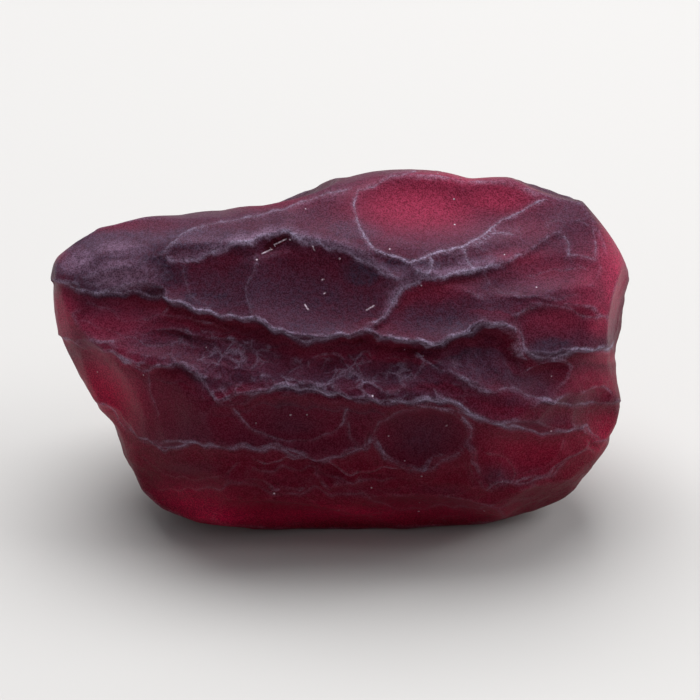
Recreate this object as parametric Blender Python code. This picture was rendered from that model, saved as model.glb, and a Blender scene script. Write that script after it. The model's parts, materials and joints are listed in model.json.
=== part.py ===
"""A rough saffordite: one pebble of volcanic glass, etched all over into scalloped bowls.

The stone is a bulging hull. Flats trim it, ledges step it back under long wavy brims, and shallow
bowls are cut out of it side by side, so that they meet in ridges. Every cut is worked out along
rays from the stone's middle, and a flat foot is cut off below. Lengths are in millimetres up to
stone_mesh, which turns them into metres.
"""

from math import cos, pi, radians, sin

import bmesh
import bpy
import numpy as np

NAME = "saffordite"
MM = 0.001

# ---- driving dimensions --------------------------------------------------------------------------
# The scalloped face looks up by FACE_TILT. On it, u runs to the right, v up the face and w out of it,
# all from the stone's middle.
FACE_TILT = radians(32.0)
RISE, RUN = sin(FACE_TILT), cos(FACE_TILT)
FACE_DEPTH = 9.6
BACK_DEPTH = 9.6
FACE_SQUARENESS = 2.7
BACK_SQUARENESS = 2.6
FOOT_LEVEL = -10.7
RAY_STRETCH = np.array([18.0, 10.5, 10.5])
RAY_SUBDIVISIONS = 7
TRIANGLE_SHARE = 0.108

# (u, v) corners of the outline, square to the face, anticlockwise from the right end.
OUTLINE = [
    (18.2, 1.4), (18.4, 3.3), (18.0, 5.1), (17.0, 7.1), (15.2, 9.3), (13.9, 10.6), (12.2, 10.7),
    (8.1, 10.8), (4.4, 11.4), (2.5, 11.3), (0.5, 10.9), (-2.7, 10.4), (-5.0, 9.4), (-7.2, 8.8),
    (-10.0, 8.5), (-13.2, 8.4), (-15.3, 8.0), (-16.6, 6.8), (-17.8, 5.8), (-18.1, 4.2), (-18.0, 2.6),
    (-17.5, 0.8), (-15.6, -2.9), (-14.3, -4.9), (-13.6, -7.1), (-12.7, -8.6), (-11.3, -9.8),
    (-8.8, -10.8), (-6.3, -11.3), (-2.5, -11.6), (4.4, -11.8), (6.6, -11.5), (9.7, -11.1),
    (11.6, -10.4), (14.0, -9.6), (15.3, -8.2), (17.2, -6.5), (17.8, -4.7), (17.7, -2.7),
    (17.6, -0.8), (17.9, 0.4),
]
OUTLINE_STEPS = 720
OUTLINE_BLUR = 11

# Ledges of the face, from the top: the brim's (u, v) points, how far the wall under it steps back along
# u, the ledge whose brim the scoop below it comes out at again, and the wall's width.
LEDGES = {
    "crest": (
        [(-18.0, 4.6), (-14.5, 4.6), (-13.5, 5.0), (-12.7, 5.4), (-11.7, 5.7), (-10.8, 5.8), (-10.2, 5.6),
         (-9.5, 5.4), (-8.5, 5.7), (-7.5, 6.0), (-6.4, 6.5), (-5.2, 6.8), (-4.5, 7.0), (-3.6, 7.2),
         (-3.1, 7.1), (-2.1, 6.6), (-1.5, 6.5), (-0.5, 6.3), (0.5, 6.0), (0.9, 5.8), (1.6, 5.3),
         (2.5, 4.8), (3.2, 4.4), (4.0, 3.9), (4.6, 3.2), (5.0, 2.0)],
        [(-14.5, 0.0), (-12.0, 0.1), (-10.5, 0.45), (-9.0, 0.6), (-4.0, 0.8), (1.0, 0.7), (3.0, 0.4),
         (4.2, 0.0)],
        "groove",
        0.6,
    ),
    "rim": (
        [(0.8, 1.1), (1.5, 1.4), (2.4, 1.9), (2.9, 2.4), (3.4, 3.1), (4.0, 3.9), (5.0, 4.3), (6.0, 4.5),
         (7.0, 4.7), (8.0, 5.0), (8.8, 5.0), (9.5, 5.2), (10.6, 5.6), (11.2, 5.9), (12.0, 6.6),
         (12.8, 7.0), (13.6, 7.3), (14.1, 8.1), (15.0, 8.7)],
        [(0.8, 0.0), (2.2, 0.3), (3.0, 0.6), (4.0, 0.85), (8.0, 0.75), (10.0, 0.5), (12.0, 0.35),
         (13.5, 0.2), (15.0, 0.0)],
        "groove",
        0.5,
    ),
    "dome step": (
        [(10.0, 1.9), (10.8, 2.2), (11.3, 2.5), (12.0, 2.8), (13.5, 2.8), (14.5, 2.2), (16.0, 2.0),
         (17.5, 2.0)],
        [(10.2, 0.0), (11.3, 0.35), (13.0, 0.5), (15.0, 0.4), (17.5, 0.1)],
        "groove",
        0.6,
    ),
    "groove": (
        [(-17.9, 4.5), (-17.1, 4.2), (-16.2, 3.9), (-15.5, 3.6), (-14.6, 3.6), (-13.7, 3.5),
         (-12.7, 3.7), (-12.0, 3.5), (-11.0, 3.3), (-10.2, 3.1), (-9.5, 2.8), (-8.5, 2.5), (-7.6, 2.3),
         (-7.0, 2.1), (-5.5, 2.0), (-4.7, 1.8), (-3.9, 1.3), (-2.9, 0.9), (-1.9, 0.5), (-1.0, 0.8),
         (0.0, 1.0), (0.8, 1.1), (2.2, 1.2), (2.5, 0.9), (3.1, 0.7), (4.1, 0.7), (5.0, 0.5), (5.7, 0.4),
         (6.3, 0.5), (7.0, 0.9), (8.0, 1.2), (8.6, 1.6), (9.5, 1.7), (10.2, 1.5), (10.9, 1.1),
         (11.1, 0.5), (11.5, -0.1), (12.2, -0.5), (12.9, -0.5), (13.6, -0.2), (14.5, 0.1),
         (15.6, 0.1), (16.6, 0.2), (17.5, 0.7), (18.2, 1.4)],
        [(-18.0, 0.35), (-14.0, 0.7), (-10.0, 0.9), (-5.0, 1.0), (2.0, 1.2), (9.0, 1.35), (14.0, 1.4),
         (17.5, 1.0)],
        "upper shelf",
        0.35,
    ),
    "upper shelf": (
        [(-18.0, 1.2), (-16.1, 0.4), (-14.1, -0.1), (-12.7, -0.9), (-9.0, -1.2), (-7.5, -3.0),
         (-6.5, -3.2), (-4.7, -2.4), (2.7, -3.0), (3.5, -2.0), (3.8, -1.5), (4.4, -1.6), (4.9, -1.1),
         (5.2, -0.7), (5.9, -1.0), (7.1, -1.5), (8.1, -2.1), (8.9, -2.6), (9.4, -2.4), (10.1, -2.2),
         (11.0, -2.5), (11.9, -2.8), (12.9, -3.1), (13.8, -3.2), (15.7, -3.3), (17.3, -3.1)],
        [(3.2, 0.0), (4.0, 0.3), (7.0, 0.4), (15.0, 0.45), (18.0, 0.2)],
        "shelf",
        0.3,
    ),
    "shelf": (
        [(-17.5, 1.0), (-16.1, 0.4), (-14.1, -0.1), (-13.5, -0.3), (-12.7, -0.9), (-11.7, -1.1),
         (-11.0, -0.9), (-10.2, -0.8), (-9.0, -1.2), (-8.0, -2.1), (-7.5, -3.1), (-6.5, -3.3),
         (-5.7, -2.9), (-4.7, -2.5), (-3.9, -2.2), (-2.0, -2.3), (0.5, -2.8), (1.9, -3.0), (3.7, -3.1),
         (5.0, -3.0), (6.4, -3.0), (7.1, -3.2), (7.9, -3.7), (8.6, -4.2), (10.0, -4.5), (11.2, -4.8),
         (12.3, -5.0), (13.5, -5.1), (14.7, -4.7), (15.2, -4.6), (15.7, -5.2), (16.2, -5.7),
         (16.8, -5.7), (17.5, -5.3)],
        [(-17.0, 0.35), (-12.0, 0.7), (-9.5, 0.6), (-8.5, 0.35), (-6.5, 0.35), (-4.0, 0.75), (6.0, 0.85),
         (12.0, 0.8), (15.0, 0.6), (17.0, 0.45)],
        "waist",
        0.3,
    ),
    "waist": (
        [(-15.5, -3.0), (-14.1, -3.7), (-13.5, -4.5), (-12.7, -5.2), (-11.7, -5.7), (-10.7, -6.1),
         (-10.1, -6.0), (-9.5, -5.7), (-8.8, -5.6), (-7.5, -5.9), (-6.2, -5.9), (-5.2, -6.0),
         (-3.6, -6.0), (-2.7, -6.4), (-1.9, -6.6), (-1.0, -6.8), (-0.3, -6.6), (0.6, -6.2), (1.6, -6.0),
         (1.9, -5.3), (2.3, -5.9), (2.8, -6.6), (3.8, -7.1), (4.8, -7.5), (5.6, -7.2), (6.4, -6.8),
         (7.1, -6.4), (7.7, -5.8), (8.1, -5.7), (8.4, -6.6), (8.6, -7.4), (8.8, -8.2), (9.1, -8.6),
         (9.6, -8.4), (10.1, -8.2), (11.9, -8.1), (13.1, -7.7), (14.4, -6.6), (15.6, -5.9)],
        [(-15.0, 0.4), (-11.0, 0.85), (-3.0, 0.85), (5.0, 0.95), (7.2, 0.7), (8.1, 0.3), (8.8, 0.3),
         (9.8, 0.65), (12.0, 0.75), (15.6, 0.3)],
        "low step",
        0.3,
    ),
    "tail": (
        [(-6.2, -7.0), (-5.1, -7.3), (-4.0, -7.4), (-3.5, -7.1), (-2.4, -7.3), (-1.7, -7.1),
         (-0.8, -7.6), (-0.1, -7.9), (0.6, -8.1), (1.6, -8.0), (2.5, -7.9), (3.4, -7.9), (4.4, -7.8),
         (6.0, -8.0)],
        [(-6.0, 0.0), (-4.8, 0.45), (0.0, 0.55), (3.5, 0.4), (5.6, 0.0)],
        "low step",
        0.3,
    ),
    "low step": (
        [(-13.5, -6.6), (-12.3, -8.1), (-11.2, -8.7), (-9.5, -8.6), (-8.2, -8.5), (-7.4, -8.5),
         (-6.5, -8.2), (-5.7, -8.1), (-5.0, -8.4), (-4.1, -8.8), (-3.2, -8.9), (-2.1, -8.7),
         (-1.5, -8.4), (-0.5, -8.9), (0.5, -8.9), (1.2, -8.7), (2.2, -9.4), (3.6, -9.8), (4.8, -9.9),
         (6.4, -9.6), (8.1, -9.8), (10.1, -9.6), (11.9, -9.1), (13.5, -8.6), (15.0, -7.7)],
        [(-13.0, 0.1), (-10.5, 0.6), (10.0, 0.6), (14.5, 0.1)],
        "foot",
        0.3,
    ),
    "foot": ([(-18.0, -11.0), (18.0, -11.0)], [(0.0, 0.0), (1.0, 0.0)], "foot", 0.3),
}
LEAST_SCOOP = 0.8
WALL_START = 0.3
LEDGE_EDGE = 1.2
FACE_EDGE = 2.5
FACE_BLEND = 3.0

# Waves that make the brims ragged: reach, and how fast they run along u, v and w, and where they start.
CRINKLES_ALONG = [(0.07, 0.0, 3.1, 1.7, 1.0), (0.03, -4.1, 6.1, 0.0, 2.0)]
CRINKLES_UP = [(0.09, 3.7, 0.0, 1.3, 0.0), (0.03, 6.9, 2.9, 0.0, 0.5)]

# Ledges of the back follow the same layers: height, lean along X, wave phase, step and run-out. They
# stop where the stone turns up to its top.
BACK_LEDGES = [
    (4.2, -0.06, 1.9, 0.9, 3.2),
    (0.2, -0.04, 3.3, 0.7, 3.0),
    (-3.6, -0.02, 5.1, 0.8, 3.0),
    (-6.8, 0.0, 0.9, 0.5, 2.4),
]
BACK_TOP = 0.4
BACK_TOP_BLEND = 0.2
BACK_WALL = 0.8
BACK_LIP = 0.1
# Waves of the back's ledges, as reach, pace along X and share of the phase, and how their steps fade.
BACK_WAVES = [(0.55, 0.42, 1.0), (0.3, 1.05, 2.0)]
BACK_FADE = (0.35, 0.3, 3.0)

# Bowls of the face: (u, v) middle, (half width, half height), turn in degrees, depth, and how far the
# bowl's opening is turned upwards.
BOWLS = {
    "top terrace": ((-9.6, 7.6), (7.6, 1.7), 7, 0.3, 0.0),
    "left end": ((-16.6, 5.8), (2.0, 1.4), 0, 0.25, 0.0),
    "top bowl": ((6.4, 8.7), (5.7, 2.8), -4, 0.95, 0.16),
    "back brow": ((1.6, 10.3), (2.2, 0.8), 20, 0.2, 0.0),
    "saddle": ((-0.9, 8.2), (2.0, 1.6), 0, 0.2, 0.0),
    "frosted band": ((-7.8, 7.0), (2.2, 0.6), 12, 0.12, 0.0),
    "left band": ((-12.8, 6.1), (2.1, 0.8), 14, 0.2, 0.0),
    "tongue": ((3.4, 5.1), (1.8, 0.7), -30, 0.32, 0.0),
    "main bowl": ((-1.1, 3.9), (4.4, 3.0), -14, 0.85, 0.0),
    "left bowl": ((-7.7, 4.2), (2.9, 2.0), -14, 0.3, 0.0),
    "left dimple": ((-10.3, 4.5), (1.4, 1.1), 0, 0.3, 0.0),
    "left lip": ((-13.0, 4.3), (2.4, 1.0), 8, 0.3, 0.0),
    "right bowl": ((5.7, 2.6), (3.2, 1.9), 6, 0.6, 0.0),
    "right scallop 1": ((9.8, 4.3), (1.5, 0.9), 10, 0.2, 0.0),
    "right scallop 2": ((12.0, 4.6), (1.8, 1.0), 18, 0.22, 0.0),
    "right scallop 3": ((9.7, 2.8), (1.6, 0.9), -5, 0.2, 0.0),
    "right scallop 4": ((14.6, 3.4), (1.8, 1.0), 0, 0.2, 0.0),
    "first bump": ((6.5, 5.3), (1.3, 0.65), 15, 0.16, 0.1),
    "second bump": ((9.1, 6.1), (1.8, 0.8), 28, 0.18, 0.1),
    "third bump": ((11.7, 7.5), (1.9, 0.8), 38, 0.18, 0.1),
    "right brow": ((13.3, 8.7), (1.7, 1.0), 30, 0.1, 0.0),
    "right chip": ((14.8, 6.8), (1.1, 1.2), 5, 0.12, 0.05),
    "upper dome": ((14.2, 5.0), (1.7, 1.1), 10, 0.2, 0.0),
    "lower dome": ((13.0, 1.0), (2.7, 1.8), 0, 0.3, 0.0),
    "right end": ((16.4, 3.6), (1.5, 2.6), 0, 0.15, 0.0),
    "middle shelf": ((-1.5, -1.0), (4.6, 1.0), -5, 0.2, 0.1),
    "left shelf": ((-12.8, 1.4), (3.8, 1.1), -12, 0.2, 0.1),
    "right shelf": ((12.0, -1.3), (4.0, 0.9), -6, 0.2, 0.1),
    "left flank": ((-14.1, -2.7), (2.2, 2.8), 16, 0.5, 0.05),
    "second flank": ((-10.2, -3.6), (1.9, 2.0), 0, 0.2, 0.05),
    "middle flank": ((-3.9, -4.6), (4.0, 2.1), -4, 0.6, 0.05),
    "low fan": ((0.6, -4.9), (1.9, 1.5), 0, 0.25, 0.05),
    "lens": ((5.0, -5.4), (3.1, 2.3), 0, 0.8, 0.05),
    "right flank": ((11.4, -6.6), (3.9, 2.0), -4, 0.6, 0.05),
    "right corner": ((15.9, -4.4), (1.7, 1.5), 0, 0.25, 0.0),
    "low left": ((-9.0, -7.3), (2.8, 1.4), 0, 0.3, 0.05),
    "low middle": ((-3.5, -8.0), (1.8, 0.8), 0, 0.15, 0.05),
    "low right": ((3.6, -8.9), (2.7, 0.9), 0, 0.2, 0.05),
    "far right": ((9.8, -9.0), (3.0, 0.8), 4, 0.15, 0.0),
}
BOWL_RIDGE = 0.2
BOWL_ROUNDNESS = 5.0
HULL_CURVE = 1.0 / 40.0

# Bowls of the back, the ends and the underside are strewn evenly over the hull.
BACK_SEED = 33
BACK_BOWLS = 30
BACK_TRIES = 14
BACK_WIDTH = (4.0, 7.5)
BACK_HEIGHT = (2.4, 3.8)
BACK_DEPTH_SHARE = (0.12, 0.24)
BACK_TURN = 25.0
BACK_TIP = 0.12
BACK_RIDGE = 0.2
# Where they may lie: behind the face, or on its underside below this v and nearer than this w.
BEHIND = -0.5
UNDERSIDE = (-9.6, 2.0)

# Cups etched all over: cell size along X, Y and Z, seed, depth on the face, the low band and the back.
CUPS = [
    ((3.4, 2.4, 2.0), 9, 0.08, 0.18, 0.28),
    ((6.5, 4.6, 4.2), 13, 0.0, 0.0, 0.55),
]
LOW_BAND = -6.2
CUP_MIDDLE = 0.43

# The block that cuts the foot flat, across and down.
CUTTER_SPAN = 60.0
CUTTER_DEPTH = 10.0

COLOUR = (0.075, 0.022, 0.036, 1.0)
ROUGHNESS = 0.45
GLASS_IOR = 1.49


# ---- directions and frames -----------------------------------------------------------------------
def unit(vectors):
    """Each row scaled to length one."""
    return vectors / np.linalg.norm(vectors, axis=-1, keepdims=True)


def from_face(points):
    """Rows of (u, v, w) on the face as rows of (x, y, z)."""
    u, v, w = points[..., 0], points[..., 1], points[..., 2]
    return np.stack([u, v * RISE - w * RUN, v * RUN + w * RISE], -1)


def to_face(points):
    """Rows of (x, y, z) as rows of (u, v, w) on the face."""
    x, y, z = points[..., 0], points[..., 1], points[..., 2]
    return np.stack([x, y * RISE + z * RUN, -y * RUN + z * RISE], -1)


def facing(pitch, yaw):
    """The direction that looks up by pitch and to the right by yaw, both in degrees."""
    up, right = radians(pitch), radians(yaw)
    return np.array([cos(up) * sin(right), -cos(up) * cos(right), sin(up)])


def sloping(along_u, along_v):
    """The direction square to a plane whose w changes by these amounts for each step of u and v."""
    return unit(from_face(np.array([-along_u, -along_v, 1.0])))


def smooth(x):
    """0 below 0, 1 above 1, and an S-shaped ramp between them."""
    x = np.clip(x, 0.0, 1.0)
    return x * x * (3.0 - 2.0 * x)


def lesser(a, b, blend):
    """The smaller of a and b, with the crease between them rounded over the width blend."""
    overlap = np.maximum(blend - np.abs(a - b), 0.0) / blend
    return np.minimum(a, b) - overlap * overlap * blend / 4.0


# ---- hull, flats and ledges ----------------------------------------------------------------------
# Flats of the face: a point (u, v, w) on the flat, its outward direction, and how soft its edges are.
FLATS = [
    ((0.0, -3.0, 9.0), facing(-10, 0), 2.0),
    ((-12.5, -2.5, 5.6), facing(-6, -42), 2.0),
    ((13.0, -4.0, 6.0), facing(-6, 40), 2.0),
    ((0.0, -10.3, 3.8), facing(-48, 0), 1.5),
    ((-0.8, 3.9, 9.1), facing(32, -4), 0.8),
    ((9.0, 3.2, 8.3), facing(31, 16), 0.8),
    ((-9.5, 4.0, 7.0), facing(36, -26), 0.8),
    ((-3.5, 7.0, 9.1), sloping(-0.25, -0.62), 0.25),
    ((3.9, 4.1, 9.15), sloping(-0.09, -0.66), 0.25),
    ((-10.6, 5.75, 6.5), sloping(0.42, -0.86), 0.25),
]


def outline_table():
    """Angles round the face and the softened outline's distance from its middle at each."""
    corners = np.array(OUTLINE)
    angle = np.arctan2(corners[:, 1], corners[:, 0])
    reach = np.hypot(corners[:, 0], corners[:, 1])
    angles = np.linspace(-pi, pi, OUTLINE_STEPS + 1)
    order = np.argsort(angle)
    reaches = np.interp(angles, angle[order], reach[order], period=2.0 * pi)
    kernel = np.hanning(OUTLINE_BLUR)
    wide = np.concatenate([reaches[-OUTLINE_BLUR - 1:-1], reaches, reaches[1:OUTLINE_BLUR + 1]])
    soft = np.convolve(wide, kernel / kernel.sum(), "same")
    return angles, soft[OUTLINE_BLUR:-OUTLINE_BLUR]


OUTLINE_ANGLES, OUTLINE_REACHES = outline_table()


def hull(rays):
    """Distance to the bulging hull: a superellipse from the outline to the face's or back's depth."""
    face = to_face(rays)
    u, v, w = face[..., 0], face[..., 1], face[..., 2]
    depth = np.where(w > 0.0, FACE_DEPTH, BACK_DEPTH)
    power = np.where(w > 0.0, FACE_SQUARENESS, BACK_SQUARENESS)
    reach = np.interp(np.arctan2(v, u), OUTLINE_ANGLES, OUTLINE_REACHES)
    return ((np.hypot(u, v) / reach) ** power + (np.abs(w) / depth) ** power) ** (-1.0 / power)


def flat_distance(rays, place, outward):
    """Distance to the plane through a place on the face, far away where a ray misses it."""
    height = outward @ from_face(np.array(place))
    towards = rays @ outward
    return np.where(towards > 0.02, height / np.maximum(towards, 0.02), 1000.0)


def crinkled(face):
    """(u, v) pushed about by a few crossing waves, so that brims come out lobed and ragged."""
    moved = []
    for place, waves in ((face[..., 0], CRINKLES_ALONG), (face[..., 1], CRINKLES_UP)):
        for reach, along_u, along_v, along_w, start in waves:
            place = place + reach * np.sin(face @ np.array([along_u, along_v, along_w]) + start)
        moved.append(place)
    return moved


def brim_height(name, u):
    """How high a ledge's brim is at u, along straight lines between its points."""
    return np.interp(u, *np.array(LEDGES[name][0]).T)


def below_brim(name, u, v):
    """Distance to a ledge's brim: the least to any of its straight runs, positive below the brim."""
    nearest = np.full(u.shape, np.inf)
    corners = np.array(LEDGES[name][0])
    for (u0, v0), (du, dv) in zip(corners[:-1], np.diff(corners, axis=0)):
        share = np.clip(((u - u0) * du + (v - v0) * dv) / (du * du + dv * dv), 0.0, 1.0)
        nearest = np.minimum(nearest, (u - u0 - share * du) ** 2 + (v - v0 - share * dv) ** 2)
    return np.copysign(np.sqrt(nearest), brim_height(name, u) - v)


def ledges(distance, rays):
    """The distance less the ledges. Under each brim a wall steps back, and from its foot a scoop comes
    out as the square of the share of the way down to the next brim."""
    points = rays * distance[..., None]
    face = to_face(points)
    front = smooth((face[..., 2] + LEDGE_EDGE) / FACE_BLEND)
    u, v = crinkled(face)
    stepped = distance
    for name, (brim, steps, next_name, width) in LEDGES.items():
        top = brim_height(name, u)
        down = (top - v) / np.maximum(top - brim_height(next_name, u), LEAST_SCOOP)
        step = np.interp(u, *np.array(steps).T)
        wall = smooth(below_brim(name, u, v) / width + WALL_START)
        stepped = stepped - step * wall * (1.0 - np.clip(down, 0.0, 1.0) ** 2) * front
    x, z = points[..., 0], points[..., 2]
    on_back = 1.0 - smooth((face[..., 2] + FACE_EDGE) / FACE_BLEND)
    on_back = on_back * (1.0 - smooth((rays[..., 2] - BACK_TOP) / BACK_TOP_BLEND))
    share, pace, turn = BACK_FADE
    for height, lean, phase, step, run_out in BACK_LEDGES:
        wave = sum(reach * np.sin(speed * x + times * phase) for reach, speed, times in BACK_WAVES)
        below = height + lean * x + wave - z
        fading = step * (1.0 - share + share * np.sin(pace * x + turn * phase))
        shape = smooth((below + BACK_LIP) / BACK_WALL) * (1.0 - smooth(below / run_out))
        stepped = stepped - fading * shape * on_back
    return stepped


def stepped_hull(rays):
    """Distance to the hull with its flats and ledges."""
    distance = hull(rays)
    for place, outward, edge in FLATS:
        distance = lesser(distance, flat_distance(rays, place, outward), edge)
    return ledges(distance, rays)


# ---- bowls and cups ------------------------------------------------------------------------------
def face_points(places):
    """The stepped hull's points over (u, v) places of the face, found by halving along w."""
    places = np.array(places)
    near, far = np.zeros(len(places)), np.full(len(places), 1.5 * FACE_DEPTH)
    for _ in range(24):
        middle = (near + far) / 2.0
        points = from_face(np.column_stack([places, middle]))
        length = np.linalg.norm(points, axis=1)
        inside = length < stepped_hull(points / length[:, None])
        near, far = np.where(inside, middle, near), np.where(inside, far, middle)
    return from_face(np.column_stack([places, near]))


def outward_at(rays, surface, spread):
    """The surface's outward directions, measured between points a little to each side of the rays."""
    first = unit(np.cross(rays, np.array([0.31, 0.17, 0.93])))
    second = np.cross(rays, first)

    def point(direction):
        direction = unit(direction)
        return direction * surface(direction)[:, None]

    across = point(rays + spread * first) - point(rays - spread * first)
    along = point(rays + spread * second) - point(rays - spread * second)
    outward = unit(np.cross(across, along))
    return outward * np.sign((outward * rays).sum(1, keepdims=True))


def bowl_frames(outward, turn):
    """Axes of each bowl as rows: across, up and outward, turned about outward by degrees."""
    up = from_face(np.array([0.0, 1.0, 0.0]))
    up = unit(up - outward * (outward @ up)[:, None])
    across = np.cross(up, outward)
    c, s = np.cos(np.radians(turn))[:, None], np.sin(np.radians(turn))[:, None]
    return np.stack([across * c + up * s, -across * s + up * c, outward], 1)


def make_bowls(points, outward, halves, turn, depth, ridge):
    """Ellipsoids that each sink depth below a point and open there to about the halves given."""
    thick = BOWL_ROUNDNESS * depth
    bend = 2.0 * depth[:, None] / halves ** 2
    bend = np.maximum(bend - HULL_CURVE, 0.35 * bend)
    radii = np.column_stack([np.sqrt(thick[:, None] / bend), thick])
    middles = points + outward * (thick - depth)[:, None]
    frames = bowl_frames(outward, turn)
    length = np.linalg.norm(points, axis=1)
    angle = np.minimum(1.4, 1.15 * (1.7 * halves.max(1) + 0.3) / length)
    return list(zip(middles, frames, radii, points / length[:, None], np.cos(angle), [ridge] * len(points)))


def cut_bowls(distance, rays, bowls):
    """The distance less the bowls: along each ray the near side of an ellipsoid, where it is nearer."""
    distance = distance.copy()
    for middle, frame, radii, towards, least, ridge in bowls:
        chosen = np.nonzero(rays @ towards > least)[0]
        squash = frame / radii[:, None]
        start = squash @ -middle
        step = rays[chosen] @ squash.T
        a, b, c = (step * step).sum(1), step @ start, start @ start - 1.0
        root = b * b - a * c
        near = np.where(root > 0.0, (-b - np.sqrt(np.maximum(root, 0.0))) / a, 1000.0)
        near = np.where(near > 0.0, near, 1000.0)
        distance[chosen] = lesser(distance[chosen], near, ridge)
    return distance


def face_bowls():
    """The named bowls of the face, set square to the surface a little way round each."""
    places, halves, turn, depth, lift = (np.array(column, float) for column in zip(*BOWLS.values()))
    points = face_points(places)
    outward = outward_at(unit(points), stepped_hull, 0.09)
    outward = unit(outward + lift[:, None] * np.array([0.0, 0.0, 1.0]))
    return make_bowls(points, outward, halves, turn, depth, BOWL_RIDGE)


def strewn_rays(chance):
    """Directions to the hidden sides, each as far from the earlier ones as a few tries allow."""
    chosen = []
    while len(chosen) < BACK_BOWLS:
        rays = unit(chance.normal(size=(6 * BACK_TRIES, 3)))
        points = rays * hull(rays)[:, None]
        face = to_face(points)
        hidden = (face[:, 2] < BEHIND) | ((face[:, 1] < UNDERSIDE[0]) & (face[:, 2] < UNDERSIDE[1]))
        points = points[hidden][:BACK_TRIES]
        gaps = [min((np.linalg.norm(point - other) for other in chosen), default=0.0) for point in points]
        chosen.append(points[int(np.argmax(gaps))])
    return unit(np.array(chosen))


def back_bowls():
    """Bowls strewn over the back, the ends and the underside, each tipped a little at random."""
    chance = np.random.default_rng(BACK_SEED)
    rays = strewn_rays(chance)
    points = rays * stepped_hull(rays)[:, None]
    outward = outward_at(rays, stepped_hull, 0.15)
    outward = unit(outward + chance.normal(0.0, BACK_TIP, (BACK_BOWLS, 3)))
    width = chance.uniform(*BACK_WIDTH, BACK_BOWLS)
    height = chance.uniform(*BACK_HEIGHT, BACK_BOWLS)
    halves = np.column_stack([width, height])
    depth = height * chance.uniform(*BACK_DEPTH_SHARE, BACK_BOWLS)
    turn = chance.uniform(-BACK_TURN, BACK_TURN, BACK_BOWLS)
    return make_bowls(points, outward, halves, turn, depth, BACK_RIDGE)


def scattered(cells, seed):
    """A point in each cell of a grid, as shares of the cell, from a fixed mixing of its indices."""
    mixed = cells[..., 0] * 73856093 ^ cells[..., 1] * 19349663 ^ cells[..., 2] * 83492791 ^ seed * 2654435
    mixed = (mixed ^ (mixed >> 15)) * 2246822519 & 0xFFFFFFFF
    mixed = (mixed ^ (mixed >> 13)) * 3266489917 & 0xFFFFFFFF
    mixed = mixed ^ (mixed >> 16)
    return np.stack([mixed & 1023, (mixed >> 10) & 1023, (mixed >> 20) & 1023], -1) / 1023.0


def cups(points, size, seed):
    """Squared distance to the nearest scattered point, in cells: cups that meet in sharp ridges."""
    spots = points / np.array(size)
    home = np.floor(spots).astype(np.int64)
    nearest = np.ones(spots.shape[:-1])
    for offset in np.ndindex(3, 3, 3):
        cells = home + np.array(offset) - 1
        nearest = np.minimum(nearest, ((cells + scattered(cells, seed) - spots) ** 2).sum(-1))
    return nearest


def etch(distance, rays):
    """The distance with the small cups etched in, deepest on the back and in the low band."""
    points = rays * distance[..., None]
    face = to_face(points)
    on_face = smooth((face[..., 2] + 1.0) / 2.0)
    low = smooth(LOW_BAND - face[..., 1]) * on_face
    etched = distance
    for size, seed, on_front, in_band, on_back in CUPS:
        depth = on_front * on_face + (in_band - on_front) * low + on_back * (1.0 - on_face)
        etched = etched + depth * (cups(points, size, seed) - CUP_MIDDLE)
    return etched


# ---- the stone -----------------------------------------------------------------------------------
def stone_mesh():
    """The whole stone as a fine mesh in metres, over its foot's middle, with the foot level at zero."""
    shape = bmesh.new()
    bmesh.ops.create_icosphere(shape, subdivisions=RAY_SUBDIVISIONS, radius=1.0)
    mesh = bpy.data.meshes.new(NAME)
    shape.to_mesh(mesh)
    shape.free()
    rays = np.empty(3 * len(mesh.vertices))
    mesh.vertices.foreach_get("co", rays)
    rays = unit(rays.reshape(-1, 3) * RAY_STRETCH)
    distance = stepped_hull(rays)
    distance = cut_bowls(distance, rays, face_bowls())
    distance = cut_bowls(distance, rays, back_bowls())
    distance = etch(distance, rays)
    points = rays * distance[:, None]
    middle = (points.min(0) + points.max(0)) / 2.0
    middle[2] = FOOT_LEVEL
    mesh.vertices.foreach_set("co", ((points - middle) * MM).ravel())
    mesh.update()
    mesh.shade_smooth()
    return mesh


def glass():
    """Wine-dark volcanic glass with a frosted skin."""
    material = bpy.data.materials.new("frosted volcanic glass")
    material.use_nodes = True
    shader = material.node_tree.nodes["Principled BSDF"]
    shader.inputs["Base Color"].default_value = COLOUR
    shader.inputs["Roughness"].default_value = ROUGHNESS
    shader.inputs["Metallic"].default_value = 0.0
    shader.inputs["IOR"].default_value = GLASS_IOR
    return material


def foot_cutter(collection):
    """A block below the foot level, wider than the stone."""
    bpy.ops.mesh.primitive_cube_add(size=1.0, location=(0.0, 0.0, -CUTTER_DEPTH * MM / 2.0))
    cutter = bpy.context.object
    cutter.name = "foot cutter"
    cutter.scale = (CUTTER_SPAN * MM, CUTTER_SPAN * MM, CUTTER_DEPTH * MM)
    bpy.ops.object.transform_apply(location=False, rotation=False, scale=True)
    cutter.hide_render = True
    cutter.display_type = "WIRE"
    for home in list(cutter.users_collection):
        home.objects.unlink(cutter)
    collection.objects.link(cutter)
    return cutter


def build():
    """The pebble in its own collection, thinned to facets and cut flat below."""
    for leftover in list(bpy.data.objects):
        bpy.data.objects.remove(leftover)
    parts, cutters = (bpy.data.collections.new(label) for label in (NAME, "cutters"))
    for collection in (parts, cutters):
        bpy.context.scene.collection.children.link(collection)
    stone = bpy.data.objects.new(NAME, stone_mesh())
    parts.objects.link(stone)
    stone.data.materials.append(glass())
    thin = stone.modifiers.new("Facets", "DECIMATE")
    thin.ratio = TRIANGLE_SHARE
    flat = stone.modifiers.new("Flat foot", "BOOLEAN")
    flat.operation = "DIFFERENCE"
    flat.solver = "EXACT"
    flat.object = foot_cutter(cutters)


build()
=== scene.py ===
import json
from math import cos, pi, radians, sin

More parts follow.
